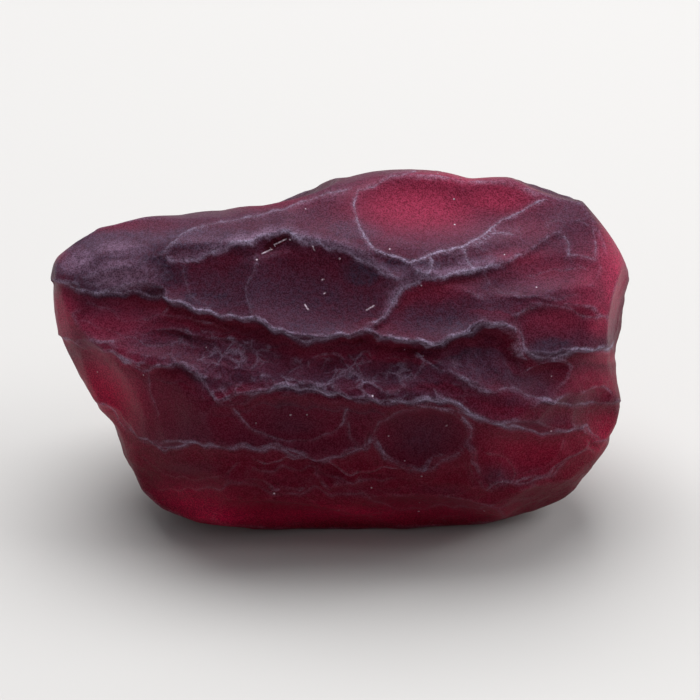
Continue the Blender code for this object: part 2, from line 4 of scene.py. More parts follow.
import bpy
import numpy as np
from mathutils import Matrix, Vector

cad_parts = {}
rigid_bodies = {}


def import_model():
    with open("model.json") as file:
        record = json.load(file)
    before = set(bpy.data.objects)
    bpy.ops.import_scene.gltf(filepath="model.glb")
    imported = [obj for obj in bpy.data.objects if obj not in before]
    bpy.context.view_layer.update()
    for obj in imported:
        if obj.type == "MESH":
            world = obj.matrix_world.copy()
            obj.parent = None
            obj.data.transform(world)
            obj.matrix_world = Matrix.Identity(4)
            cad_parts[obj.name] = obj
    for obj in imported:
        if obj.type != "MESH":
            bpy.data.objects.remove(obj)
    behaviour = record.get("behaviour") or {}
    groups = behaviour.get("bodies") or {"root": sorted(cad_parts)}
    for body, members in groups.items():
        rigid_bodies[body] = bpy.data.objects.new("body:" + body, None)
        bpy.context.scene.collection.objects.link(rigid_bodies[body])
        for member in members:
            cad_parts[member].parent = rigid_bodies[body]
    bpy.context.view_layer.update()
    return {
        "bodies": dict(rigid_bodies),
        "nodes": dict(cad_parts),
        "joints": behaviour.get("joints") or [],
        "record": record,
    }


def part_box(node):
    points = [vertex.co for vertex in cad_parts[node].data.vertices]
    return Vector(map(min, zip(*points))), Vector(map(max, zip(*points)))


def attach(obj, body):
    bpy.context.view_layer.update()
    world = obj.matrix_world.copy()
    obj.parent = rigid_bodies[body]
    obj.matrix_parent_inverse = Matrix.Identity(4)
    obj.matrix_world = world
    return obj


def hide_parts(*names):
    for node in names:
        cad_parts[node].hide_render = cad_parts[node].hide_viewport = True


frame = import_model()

# ---- The pebble's own directions ----------------------------------------------------------------
# The stone has one broad scalloped face, which looks up at an angle. On it u runs to the right, v
# up the face and w out of it, all from the stone's middle. The whole pebble is one surface with no
# parts, worked out in millimetres along rays from that middle.
FACE_TILT = radians(32.0)
RISE, RUN = sin(FACE_TILT), cos(FACE_TILT)
MM = 0.001
# A ray that misses a surface meets it this far off.
FAR_OFF = 1000.0


def unit(vectors):
    """Each row scaled to length one."""
    return vectors / np.linalg.norm(vectors, axis=-1, keepdims=True)


def from_face(points):
    """Rows of (u, v, w) on the face as rows of (x, y, z)."""
    u, v, w = points[..., 0], points[..., 1], points[..., 2]
    return np.stack([u, v * RISE - w * RUN, v * RUN + w * RISE], -1)


def to_face(points):
    """Rows of (x, y, z) as rows of (u, v, w) on the face."""
    x, y, z = points[..., 0], points[..., 1], points[..., 2]
    return np.stack([x, y * RISE + z * RUN, -y * RUN + z * RISE], -1)


def facing(pitch, yaw):
    """The direction that looks up by pitch and to the right by yaw, both in degrees."""
    up, right = radians(pitch), radians(yaw)
    return np.array([cos(up) * sin(right), -cos(up) * cos(right), sin(up)])


def sloping(along_u, along_v):
    """The direction square to a plane whose w changes by these amounts per step of u and v."""
    return unit(from_face(np.array([-along_u, -along_v, 1.0])))


def smooth(x):
    """0 below 0, 1 above 1, and an S-shaped ramp between them."""
    x = np.clip(x, 0.0, 1.0)
    return x * x * (3.0 - 2.0 * x)


def lesser(a, b, blend):
    """The smaller of a and b, with the crease between them rounded over the width blend."""
    overlap = np.maximum(blend - np.abs(a - b), 0.0) / blend
    return np.minimum(a, b) - overlap * overlap * blend / 4.0


# ---- The hull -----------------------------------------------------------------------------------
# A lump of rhyolite glass, longer than it is wide, that broke free of its flow and was worn round.
# It bulges to both sides of the outline of its broad face.
FACE_DEPTH = 9.6
BACK_DEPTH = 9.6
FACE_SQUARENESS = 2.7
BACK_SQUARENESS = 2.6

# (u, v) corners of the outline, square to the face, anticlockwise from the right end.
OUTLINE = [
    (18.2, 1.4), (18.4, 3.3), (18.0, 5.1), (17.0, 7.1), (15.2, 9.3), (13.9, 10.6), (12.2, 10.7),
    (8.1, 10.8), (4.4, 11.4), (2.5, 11.3), (0.5, 10.9), (-2.7, 10.4), (-5.0, 9.4), (-7.2, 8.8),
    (-10.0, 8.5), (-13.2, 8.4), (-15.3, 8.0), (-16.6, 6.8), (-17.8, 5.8), (-18.1, 4.2),
    (-18.0, 2.6), (-17.5, 0.8), (-15.6, -2.9), (-14.3, -4.9), (-13.6, -7.1), (-12.7, -8.6),
    (-11.3, -9.8), (-8.8, -10.8), (-6.3, -11.3), (-2.5, -11.6), (4.4, -11.8), (6.6, -11.5),
    (9.7, -11.1), (11.6, -10.4), (14.0, -9.6), (15.3, -8.2), (17.2, -6.5), (17.8, -4.7),
    (17.7, -2.7), (17.6, -0.8), (17.9, 0.4),
]
OUTLINE_STEPS = 720
OUTLINE_BLUR = 11


def outline_table():
    """Angles round the face and the softened outline's distance from its middle at each."""
    corners = np.array(OUTLINE)
    angle = np.arctan2(corners[:, 1], corners[:, 0])
    reach = np.hypot(corners[:, 0], corners[:, 1])
    angles = np.linspace(-pi, pi, OUTLINE_STEPS + 1)
    order = np.argsort(angle)
    reaches = np.interp(angles, angle[order], reach[order], period=2.0 * pi)
    kernel = np.hanning(OUTLINE_BLUR)
    wide = np.concatenate([reaches[-OUTLINE_BLUR - 1:-1], reaches, reaches[1:OUTLINE_BLUR + 1]])
    soft = np.convolve(wide, kernel / kernel.sum(), "same")
    return angles, soft[OUTLINE_BLUR:-OUTLINE_BLUR]


OUTLINE_ANGLES, OUTLINE_REACHES = outline_table()


def hull(rays):
    """Distance to the bulging hull: a superellipse from the outline to either side's depth."""
    face = to_face(rays)
    u, v, w = face[..., 0], face[..., 1], face[..., 2]
    depth = np.where(w > 0.0, FACE_DEPTH, BACK_DEPTH)
    power = np.where(w > 0.0, FACE_SQUARENESS, BACK_SQUARENESS)
    reach = np.interp(np.arctan2(v, u), OUTLINE_ANGLES, OUTLINE_REACHES)
    return ((np.hypot(u, v) / reach) ** power + (np.abs(w) / depth) ** power) ** (-1.0 / power)


# ---- Flats and ledges ---------------------------------------------------------------------------
# Flow layers in the glass etch at different speeds, so the face steps back under long wavy brims.
# The groove below the upper mass is the deepest and runs out at a notch in the right end.

# Ledges of the face, from the top: the brim's (u, v) points, how far the wall under it steps back
# along u, the ledge whose brim the scoop below it comes out at again, and the wall's width.
LEDGES = {
    "crest": ([
        (-18.0, 4.6), (-14.5, 4.6), (-13.5, 5.0), (-12.7, 5.4), (-11.7, 5.7), (-10.8, 5.8),
        (-10.2, 5.6), (-9.5, 5.4), (-8.5, 5.7), (-7.5, 6.0), (-6.4, 6.5), (-5.2, 6.8), (-4.5, 7.0),
        (-3.6, 7.2), (-3.1, 7.1), (-2.1, 6.6), (-1.5, 6.5), (-0.5, 6.3), (0.5, 6.0), (0.9, 5.8),
        (1.6, 5.3), (2.5, 4.8), (3.2, 4.4), (4.0, 3.9), (4.6, 3.2), (5.0, 2.0),
    ], [
        (-14.5, 0.0), (-12.0, 0.1), (-10.5, 0.45), (-9.0, 0.6), (-4.0, 0.8), (1.0, 0.7),
        (3.0, 0.4), (4.2, 0.0),
    ], "groove", 0.6),
    "rim": ([
        (0.8, 1.1), (1.5, 1.4), (2.4, 1.9), (2.9, 2.4), (3.4, 3.1), (4.0, 3.9), (5.0, 4.3),
        (6.0, 4.5), (7.0, 4.7), (8.0, 5.0), (8.8, 5.0), (9.5, 5.2), (10.6, 5.6), (11.2, 5.9),
        (12.0, 6.6), (12.8, 7.0), (13.6, 7.3), (14.1, 8.1), (15.0, 8.7),
    ], [
        (0.8, 0.0), (2.2, 0.3), (3.0, 0.6), (4.0, 0.85), (8.0, 0.75), (10.0, 0.5), (12.0, 0.35),
        (13.5, 0.2), (15.0, 0.0),
    ], "groove", 0.5),
    "dome step": ([
        (10.0, 1.9), (10.8, 2.2), (11.3, 2.5), (12.0, 2.8), (13.5, 2.8), (14.5, 2.2), (16.0, 2.0),
        (17.5, 2.0),
    ], [
        (10.2, 0.0), (11.3, 0.35), (13.0, 0.5), (15.0, 0.4), (17.5, 0.1),
    ], "groove", 0.6),
    "groove": ([
        (-17.9, 4.5), (-17.1, 4.2), (-16.2, 3.9), (-15.5, 3.6), (-14.6, 3.6), (-13.7, 3.5),
        (-12.7, 3.7), (-12.0, 3.5), (-11.0, 3.3), (-10.2, 3.1), (-9.5, 2.8), (-8.5, 2.5),
        (-7.6, 2.3), (-7.0, 2.1), (-5.5, 2.0), (-4.7, 1.8), (-3.9, 1.3), (-2.9, 0.9), (-1.9, 0.5),
        (-1.0, 0.8), (0.0, 1.0), (0.8, 1.1), (2.2, 1.2), (2.5, 0.9), (3.1, 0.7), (4.1, 0.7),
        (5.0, 0.5), (5.7, 0.4), (6.3, 0.5), (7.0, 0.9), (8.0, 1.2), (8.6, 1.6), (9.5, 1.7),
        (10.2, 1.5), (10.9, 1.1), (11.1, 0.5), (11.5, -0.1), (12.2, -0.5), (12.9, -0.5),
        (13.6, -0.2), (14.5, 0.1), (15.6, 0.1), (16.6, 0.2), (17.5, 0.7), (18.2, 1.4),
    ], [
        (-18.0, 0.35), (-14.0, 0.7), (-10.0, 0.9), (-5.0, 1.0), (2.0, 1.2), (9.0, 1.35),
        (14.0, 1.4), (17.5, 1.0),
    ], "upper shelf", 0.35),
    "upper shelf": ([
        (-18.0, 1.2), (-16.1, 0.4), (-14.1, -0.1), (-12.7, -0.9), (-9.0, -1.2), (-7.5, -3.0),
        (-6.5, -3.2), (-4.7, -2.4), (2.7, -3.0), (3.5, -2.0), (3.8, -1.5), (4.4, -1.6),
        (4.9, -1.1), (5.2, -0.7), (5.9, -1.0), (7.1, -1.5), (8.1, -2.1), (8.9, -2.6), (9.4, -2.4),
        (10.1, -2.2), (11.0, -2.5), (11.9, -2.8), (12.9, -3.1), (13.8, -3.2), (15.7, -3.3),
        (17.3, -3.1),
    ], [
        (3.2, 0.0), (4.0, 0.3), (7.0, 0.4), (15.0, 0.45), (18.0, 0.2),
    ], "shelf", 0.3),
    "shelf": ([
        (-17.5, 1.0), (-16.1, 0.4), (-14.1, -0.1), (-13.5, -0.3), (-12.7, -0.9), (-11.7, -1.1),
        (-11.0, -0.9), (-10.2, -0.8), (-9.0, -1.2), (-8.0, -2.1), (-7.5, -3.1), (-6.5, -3.3),
        (-5.7, -2.9), (-4.7, -2.5), (-3.9, -2.2), (-2.0, -2.3), (0.5, -2.8), (1.9, -3.0),
        (3.7, -3.1), (5.0, -3.0), (6.4, -3.0), (7.1, -3.2), (7.9, -3.7), (8.6, -4.2), (10.0, -4.5),
        (11.2, -4.8), (12.3, -5.0), (13.5, -5.1), (14.7, -4.7), (15.2, -4.6), (15.7, -5.2),
        (16.2, -5.7), (16.8, -5.7), (17.5, -5.3),
    ], [
        (-17.0, 0.35), (-12.0, 0.7), (-9.5, 0.6), (-8.5, 0.35), (-6.5, 0.35), (-4.0, 0.75),
        (6.0, 0.85), (12.0, 0.8), (15.0, 0.6), (17.0, 0.45),
    ], "waist", 0.3),
    "waist": ([
        (-15.5, -3.0), (-14.1, -3.7), (-13.5, -4.5), (-12.7, -5.2), (-11.7, -5.7), (-10.7, -6.1),
        (-10.1, -6.0), (-9.5, -5.7), (-8.8, -5.6), (-7.5, -5.9), (-6.2, -5.9), (-5.2, -6.0),
        (-3.6, -6.0), (-2.7, -6.4), (-1.9, -6.6), (-1.0, -6.8), (-0.3, -6.6), (0.6, -6.2),
        (1.6, -6.0), (1.9, -5.3), (2.3, -5.9), (2.8, -6.6), (3.8, -7.1), (4.8, -7.5), (5.6, -7.2),
        (6.4, -6.8), (7.1, -6.4), (7.7, -5.8), (8.1, -5.7), (8.4, -6.6), (8.6, -7.4), (8.8, -8.2),
        (9.1, -8.6), (9.6, -8.4), (10.1, -8.2), (11.9, -8.1), (13.1, -7.7), (14.4, -6.6),
        (15.6, -5.9),
    ], [
        (-15.0, 0.4), (-11.0, 0.85), (-3.0, 0.85), (5.0, 0.95), (7.2, 0.7), (8.1, 0.3), (8.8, 0.3),
        (9.8, 0.65), (12.0, 0.75), (15.6, 0.3),
    ], "low step", 0.3),
    "tail": ([
        (-6.2, -7.0), (-5.1, -7.3), (-4.0, -7.4), (-3.5, -7.1), (-2.4, -7.3), (-1.7, -7.1),
        (-0.8, -7.6), (-0.1, -7.9), (0.6, -8.1), (1.6, -8.0), (2.5, -7.9), (3.4, -7.9),
        (4.4, -7.8), (6.0, -8.0),
    ], [
        (-6.0, 0.0), (-4.8, 0.45), (0.0, 0.55), (3.5, 0.4), (5.6, 0.0),
    ], "low step", 0.3),
    "low step": ([
        (-13.5, -6.6), (-12.3, -8.1), (-11.2, -8.7), (-9.5, -8.6), (-8.2, -8.5), (-7.4, -8.5),
        (-6.5, -8.2), (-5.7, -8.1), (-5.0, -8.4), (-4.1, -8.8), (-3.2, -8.9), (-2.1, -8.7),
        (-1.5, -8.4), (-0.5, -8.9), (0.5, -8.9), (1.2, -8.7), (2.2, -9.4), (3.6, -9.8),
        (4.8, -9.9), (6.4, -9.6), (8.1, -9.8), (10.1, -9.6), (11.9, -9.1), (13.5, -8.6),
        (15.0, -7.7),
    ], [
        (-13.0, 0.1), (-10.5, 0.6), (10.0, 0.6), (14.5, 0.1),
    ], "foot", 0.3),
    "foot": ([(-18.0, -11.0), (18.0, -11.0)], [(0.0, 0.0), (1.0, 0.0)], "foot", 0.3),
}
LEAST_SCOOP = 0.8
# How much of a wall's width lies above its brim.
WALL_START = 0.3
# How far behind the middle the ledges and the face's finish begin, and how softly.
LEDGE_EDGE = 1.2
FACE_EDGE = 2.5
FACE_BLEND = 3.0

# Lesser brims inside the scoops: the (u, v) points of each, its step, and how far below it the
# skin comes out again.
LOW_BRIMS = {
    "left": ([
        (-15.5, 2.9), (-14.5, 2.7), (-13.6, 2.1), (-13.2, 1.9), (-12.4, 1.8), (-11.6, 2.1),
        (-10.2, 2.2), (-8.8, 1.9), (-7.5, 1.5),
    ], 0.22, 1.3),
    "second left": ([
        (-16.0, 1.9), (-14.5, 1.4), (-12.2, 0.6), (-11.2, 0.2), (-10.1, 0.5), (-8.7, 0.3),
        (-7.6, 0.4),
    ], 0.2, 1.2),
    "knee": ([
        (-8.0, 1.0), (-7.2, 0.8), (-6.4, 0.6), (-5.7, 0.25), (-4.9, -0.3), (-3.8, -0.7),
    ], 0.25, 1.1),
    "scallop": ([
        (8.8, 4.6), (9.1, 4.0), (10.0, 3.5), (11.2, 3.4), (13.1, 3.2), (14.5, 3.4),
    ], 0.22, 1.2),
    "high scallop": ([
        (11.6, 4.6), (12.6, 4.8), (13.7, 5.0), (15.0, 5.0),
    ], 0.15, 1.2),
}
LOW_WALL = 0.25
LOW_FADE = 0.8

# Waves that crinkle the brims along u and then along v: how far each pushes, its beats along u, v
# and w, and its phase.
CRINKLES = [
    [(0.07, 0.0, 3.1, 1.7, 1.0), (0.03, -4.1, 6.1, 0.0, 2.0)],
    [(0.09, 3.7, 0.0, 1.3, 0.0), (0.03, 6.9, 2.9, 0.0, 0.5)],
]

# Fine crests where two bowls meet, as (u, v) points and how plain each shows.
CRESTS = {
    "top bowl": ([
        (4.5, 11.2), (3.1, 10.8), (1.9, 10.2), (1.1, 9.9), (0.8, 9.0), (1.0, 7.9), (1.5, 6.8),
        (2.0, 6.2), (3.0, 5.8), (4.2, 5.4), (5.2, 5.6), (6.0, 6.0), (7.5, 6.3), (8.8, 7.1),
        (10.0, 8.0), (11.2, 8.6), (12.5, 9.3),
    ], 0.9),
    "first link": ([(5.5, 5.6), (5.4, 5.0), (5.0, 4.5)], 0.8),
    "second link": ([(7.5, 6.3), (7.6, 5.6), (8.0, 5.1)], 0.7),
    "strip": ([
        (7.7, 6.4), (8.6, 6.6), (9.5, 7.2), (10.5, 7.2),
    ], 0.6),
    "band": ([
        (-10.8, 5.8), (-10.2, 6.6), (-9.5, 7.2), (-8.2, 7.7), (-7.0, 7.9), (-5.8, 8.1),
        (-3.2, 8.7), (-1.4, 9.4), (0.5, 9.9),
    ], 0.6),
    "left band": ([(-14.1, 4.6), (-14.8, 4.2), (-15.5, 4.3)], 0.4),
    "divide": ([
        (-5.1, 2.1), (-5.5, 3.1), (-5.6, 3.9), (-5.1, 4.9), (-5.0, 5.9),
    ], 0.3),
    "main bowl": ([
        (0.6, 1.0), (1.5, 1.4), (2.4, 1.9), (2.9, 2.4), (3.4, 3.1), (4.0, 3.9),
    ], 0.8),
    "dimple": ([
        (-9.6, 5.1), (-9.5, 4.4), (-9.2, 3.4), (-8.2, 2.9),
    ], 0.3),
    "right chip": ([
        (13.6, 7.3), (13.9, 6.6), (13.9, 5.9), (14.8, 5.8), (15.7, 5.6), (15.8, 6.5), (15.6, 7.6),
        (14.8, 8.2),
    ], 0.5),
    "flank": ([
        (-11.7, -1.0), (-11.7, -2.2), (-11.4, -3.0), (-11.2, -3.8),
    ], 0.35),
    "flank lip": ([
        (-13.6, -4.2), (-12.8, -5.2), (-11.7, -5.6), (-11.3, -5.5),
    ], 0.4),
    "lens": ([
        (2.1, -5.1), (2.6, -6.4), (3.6, -7.1), (4.8, -7.4), (5.6, -7.2), (6.6, -6.6), (7.6, -6.0),
        (8.1, -5.1), (8.1, -4.6), (7.5, -3.8),
    ], 0.7),
    "lens top": ([
        (2.1, -5.1), (2.4, -4.4), (3.5, -3.75), (5.1, -3.4), (6.4, -3.5), (7.5, -3.8),
    ], 0.45),
    "flank bowl": ([
        (-6.4, -3.6), (-5.6, -4.6), (-4.4, -5.2), (-3.0, -5.5), (-1.6, -5.4), (-0.5, -5.0),
        (0.3, -4.3), (0.5, -3.6),
    ], 0.5),
    "fan": ([
        (0.4, -4.4), (0.6, -5.3), (1.3, -5.8), (2.1, -5.5),
    ], 0.4),
    "right low bowl": ([
        (7.9, -7.1), (8.2, -8.3), (9.4, -8.7), (10.6, -8.2), (10.9, -7.4), (10.3, -6.4),
        (9.0, -6.1),
    ], 0.5),
    "far low bowl": ([
        (11.4, -7.5), (12.6, -7.2), (13.6, -6.4), (13.9, -5.6),
    ], 0.4),
    "left low bowl": ([
        (-12.2, -6.6), (-10.9, -7.7), (-8.9, -8.0), (-7.0, -7.6), (-6.2, -6.8),
    ], 0.5),
    "low bowl": ([
        (2.2, -8.5), (3.6, -9.0), (5.2, -9.1), (7.2, -8.9), (8.2, -8.4),
    ], 0.4),
}
CREST_HEIGHT = 0.07
CREST_WIDTH = 0.14

# What the frost, the painted light and the painted shade follow. A ledge counts in full from one
# step of its wall, and as the next ledge's lip from another. Painted shade lies under brims, and
# frost with painted light on lips and over the top two.
FULL_STEP = 0.8
FULL_LIP_STEP = 0.6
SHADE_START = 0.1
SHADE_LEAST, SHADE_SHARE = 0.3, 0.3
CREST_SHADE = 0.4
LIP_START, LIP_REACH, LIP_END = 0.3, 0.7, 0.2
BROW_START, BROW_BLEND = 0.25, 0.35
BROW_WIDTH, BROW_END = 0.75, 0.1
LOW_REACH, LOW_LIP, LOW_SHADE = 0.5, 0.45, 0.4
# Pale lines follow the brims and crests: how plain those of lesser brims and of the back are, how
# far a line reaches, and where on the face and how much lines grow fainter.
LOW_LINE, BACK_LINE = 0.25, 0.9
LINE_REACH = 0.45
FAINT_FROM, FAINT_BLEND, FAINTEST = -6.5, 3.0, 0.6
NO_LINE = 9.0

# Ledges of the back follow the same layers: height, lean along X, wave phase, step and run-out.
# They stop where the stone turns up to its top. Each brim waves: height, beat and turns of phase.
BACK_LEDGES = [
    (4.2, -0.06, 1.9, 0.9, 3.2),
    (0.2, -0.04, 3.3, 0.7, 3.0),
    (-3.6, -0.02, 5.1, 0.8, 3.0),
    (-6.8, 0.0, 0.9, 0.5, 2.4),
]
BACK_WAVES = [(0.55, 0.42, 1.0), (0.3, 1.05, 2.0)]
# How strong a back ledge is along X: middle, swing to each side, beat and turns of phase.
BACK_STRENGTH = (0.65, 0.35, 0.3, 3.0)
BACK_TOP, BACK_TOP_BLEND = 0.4, 0.2
BACK_WALL, BACK_WALL_START = 0.8, 0.1

# Flats of the face: a point (u, v, w) on the flat, its outward direction, and how soft its edges
# are. A flat turned nearly edge on to a ray is missed by it.
EDGE_ON = 0.02
FLATS = [
    ((0.0, -3.0, 9.0), facing(-10, 0), 2.0),
    ((-12.5, -2.5, 5.6), facing(-6, -42), 2.0),
    ((13.0, -4.0, 6.0), facing(-6, 40), 2.0),
    ((0.0, -10.3, 3.8), facing(-48, 0), 1.5),
    ((-0.8, 3.9, 9.1), facing(32, -4), 0.8),
    ((9.0, 3.2, 8.3), facing(31, 16), 0.8),
    ((-9.5, 4.0, 7.0), facing(36, -26), 0.8),
    ((-3.5, 7.0, 9.1), sloping(-0.25, -0.62), 0.25),
    ((3.9, 4.1, 9.15), sloping(-0.09, -0.66), 0.25),
    ((-10.6, 5.75, 6.5), sloping(0.42, -0.86), 0.25),
]


def flat_distance(rays, place, outward):
    """Distance to the plane through a place on the face, far away where a ray misses it."""
    height = outward @ from_face(np.array(place))
    towards = rays @ outward
    return np.where(towards > EDGE_ON, height / np.maximum(towards, EDGE_ON), FAR_OFF)


def face_share(face, edge=FACE_EDGE, blend=FACE_BLEND):
    """From 0 behind to 1 on the face, rising over the blend from the edge behind the middle."""
    return smooth((face[..., 2] + edge) / blend)


def along(corners, u):
    """The value at u of a line that runs straight between its corners."""
    return np.interp(u, *np.array(corners).T)


def crinkled(face):
    """(u, v), each pushed by the sum of its crossing waves, so that brims come out ragged."""
    u, v, w = face[..., 0], face[..., 1], face[..., 2]
    moved_u, moved_v = (
        sum(push * np.sin(by_u * u + by_v * v + by_w * w + phase)
            for push, by_u, by_v, by_w, phase in waves)
        for waves in CRINKLES
    )
    return u + moved_u, v + moved_v


def half_crinkled(face):
    """(u, v) pushed half as far, for the crests between bowls, which run smoother."""
    u, v = crinkled(face)
    return (u + face[..., 0]) / 2.0, (v + face[..., 1]) / 2.0


def brim_height(name, u):
    """How high a ledge's brim is at u, along straight lines between its points."""
    return along(LEDGES[name][0], u)


def from_line(corners, u, v):
    """Distance to a line: the least to any of its straight runs, positive on its right side."""
    nearest, side = np.full(u.shape, np.inf), np.ones(u.shape)
    corners = np.array(corners)
    for (u0, v0), (du, dv) in zip(corners[:-1], np.diff(corners, axis=0)):
        share = np.clip(((u - u0) * du + (v - v0) * dv) / (du * du + dv * dv), 0.0, 1.0)
        away = (u - u0 - share * du) ** 2 + (v - v0 - share * dv) ** 2
        closer = away < nearest
        nearest = np.where(closer, away, nearest)
        side = np.where(closer, (u - u0) * dv - (v - v0) * du, side)
    return np.copysign(np.sqrt(nearest), side)


def below_brim(name, u, v):
    """Distance to a ledge's brim, positive below the brim."""
    return np.copysign(from_line(LEDGES[name][0], u, v), brim_height(name, u) - v)


def back_brims(points):
    """For each ledge of the back, how far points lie below its wavy brim and how strong it is
    there. Both change along X as sine waves about a middle."""
    x, z = points[..., 0], points[..., 2]
    middle, swing, strength_beat, strength_turns = BACK_STRENGTH
    brims = []
    for height, lean, phase, *_ in BACK_LEDGES:
        wave = sum(high * np.sin(beat * x + turns * phase) for high, beat, turns in BACK_WAVES)
        strength = middle + swing * np.sin(strength_beat * x + strength_turns * phase)
        brims.append((height + lean * x + wave - z, strength))
    return brims


def between_ends(brim, u, start=0.0):
    """From 0 to 1, how far u lies inside both ends of a lesser brim."""
    first, last = brim[0][0], brim[-1][0]
    return smooth((u - first) / LOW_FADE + start) * smooth((last - u) / LOW_FADE + start)


def ledges(distance, rays):
    """The distance less the ledges. Under each brim a wall steps back, and from its foot a scoop
    comes out as the square of the share of the way down to the next brim."""
    points = rays * distance[..., None]
    face = to_face(points)
    front = face_share(face, LEDGE_EDGE)
    u, v = crinkled(face)
    stepped = distance
    for name, (_, steps, next_name, width) in LEDGES.items():
        top = brim_height(name, u)
        down = (top - v) / np.maximum(top - brim_height(next_name, u), LEAST_SCOOP)
        wall = smooth(below_brim(name, u, v) / width + WALL_START)
        stepped = stepped - along(steps, u) * wall * (1.0 - np.clip(down, 0.0, 1.0) ** 2) * front
    for brim, step, run_out in LOW_BRIMS.values():
        below = from_line(brim, u, v)
        wall = smooth(below / LOW_WALL + WALL_START)
        scoop = (1.0 - np.clip(below / run_out, 0.0, 1.0)) ** 2
        stepped = stepped - step * wall * scoop * between_ends(brim, u, 0.5) * front
    on_back = (1.0 - face_share(face)) * (1.0 - smooth((rays[..., 2] - BACK_TOP) / BACK_TOP_BLEND))
    for (below, strength), (*_, step, run_out) in zip(back_brims(points), BACK_LEDGES):
        shape = smooth((below + BACK_WALL_START) / BACK_WALL) * (1.0 - smooth(below / run_out))
        stepped = stepped - step * strength * shape * on_back
    return stepped


# Painted light and shade: the lip and brow shares lay frost on as painted light, and the shade
# share darkens the skin under brims as painted shade.
def ledge_marks(points):
    """Shares from 0 to 1: how far the scoop has come out towards the lip of the next ledge, how
    close under a brim a point lies, and how close over the two top brims."""
    face = to_face(points)
    u, v = crinkled(face)
    lip, shade, brow = np.zeros(u.shape), np.zeros(u.shape), np.zeros(u.shape)
    for name, (_, steps, next_name, width) in LEDGES.items():
        top, below = brim_height(name, u), below_brim(name, u, v)
        gap = np.maximum(top - brim_height(next_name, u), LEAST_SCOOP)
        down = np.clip((top - v) / gap, 0.0, 1.0)
        weight = np.clip(along(steps, u) / FULL_STEP, 0.0, 1.0)
        next_weight = np.clip(along(LEDGES[next_name][1], u) / FULL_LIP_STEP, 0.0, 1.0)
        depth = weight * (CREST_SHADE if name == "crest" else 1.0)
        fading = 1.0 - smooth(below / (SHADE_LEAST + SHADE_SHARE * gap))
        shade = np.maximum(shade, depth * smooth(below / width - SHADE_START) * fading)
        coming_out = smooth(below / LIP_START) * np.where(down < 1.0, down, 0.0) ** 2
        lip = np.maximum(lip, next_weight * coming_out)
        over_brim = np.exp(np.minimum(below, 0.0) / LIP_REACH) * (1.0 - smooth(below / LIP_END))
        lip = np.maximum(lip, weight * over_brim)
    for name in ("crest", "rim"):
        brim, steps, *_ = LEDGES[name]
        below = from_line(brim, u, v)
        weight = smooth((along(steps, u) - BROW_START) / BROW_BLEND)
        brow = np.maximum(brow, weight * np.exp(-(below / BROW_WIDTH) ** 2) * (below < BROW_END))
    for brim, *_ in LOW_BRIMS.values():
        below = from_line(brim, u, v)
        near = np.exp(-np.abs(below) / LOW_REACH) * between_ends(brim, u)
        lip = np.maximum(lip, LOW_LIP * near * (below < 0.0))
        shade = np.maximum(shade, LOW_SHADE * near * (below > 0.0))
    on_face = face_share(face)
    return {"lip": lip * on_face, "shade": shade * on_face, "brow": brow * on_face}


def crest_marks(points):
    """Distance to the nearest brim or fine crest, positive on one side, and how plain it shows."""
    face = to_face(points)
    u, v = crinkled(face)
    away, plain = np.full(u.shape, NO_LINE), np.zeros(u.shape)
    lines = [(brim, np.clip(along(steps, u) / FULL_STEP, 0.0, 1.0), (u, v))
             for brim, steps, *_ in LEDGES.values()]
    lines += [(brim, LOW_LINE, (u, v)) for brim, *_ in LOW_BRIMS.values()]
    lines += [(crest, strength, half_crinkled(face)) for crest, strength in CRESTS.values()]
    for corners, strength, at in lines:
        side = from_line(corners, *at)
        closer = np.abs(side) < np.abs(away)
        away, plain = np.where(closer, side, away), np.where(closer, strength, plain)
    behind = face[..., 2] < -FACE_EDGE / 2.0
    away = np.where(behind, NO_LINE, away)
    for below, strength in back_brims(points):
        closer = behind & (np.abs(below) < np.abs(away))
        away, plain = np.where(closer, below, away), np.where(closer, BACK_LINE * strength, plain)
    fainter = FAINTEST + (1.0 - FAINTEST) * smooth((v - FAINT_FROM) / FAINT_BLEND)
    plain = plain * np.where(behind, 1.0, fainter) * (1.0 - smooth(np.abs(away) / LINE_REACH))
    on_face = face_share(face)
    plain = plain * np.maximum(on_face, 1.0 - smooth(2.0 * on_face))
    return {"crest_away": np.clip(away, -1.0, 1.0), "crest_plain": plain}


def stepped_hull(rays):
    """Distance to the hull with its flats and ledges."""
    distance = hull(rays)
    for place, outward, edge in FLATS:
        distance = lesser(distance, flat_distance(rays, place, outward), edge)
    return ledges(distance, rays)


# ---- Bowls --------------------------------------------------------------------------------------
# Acid ground water ate shallow bowls into the glass, side by side, until they met in sharp ridges.
# The bowls of the face are named, and those of the back, the ends and the underside are strewn by
# chance.

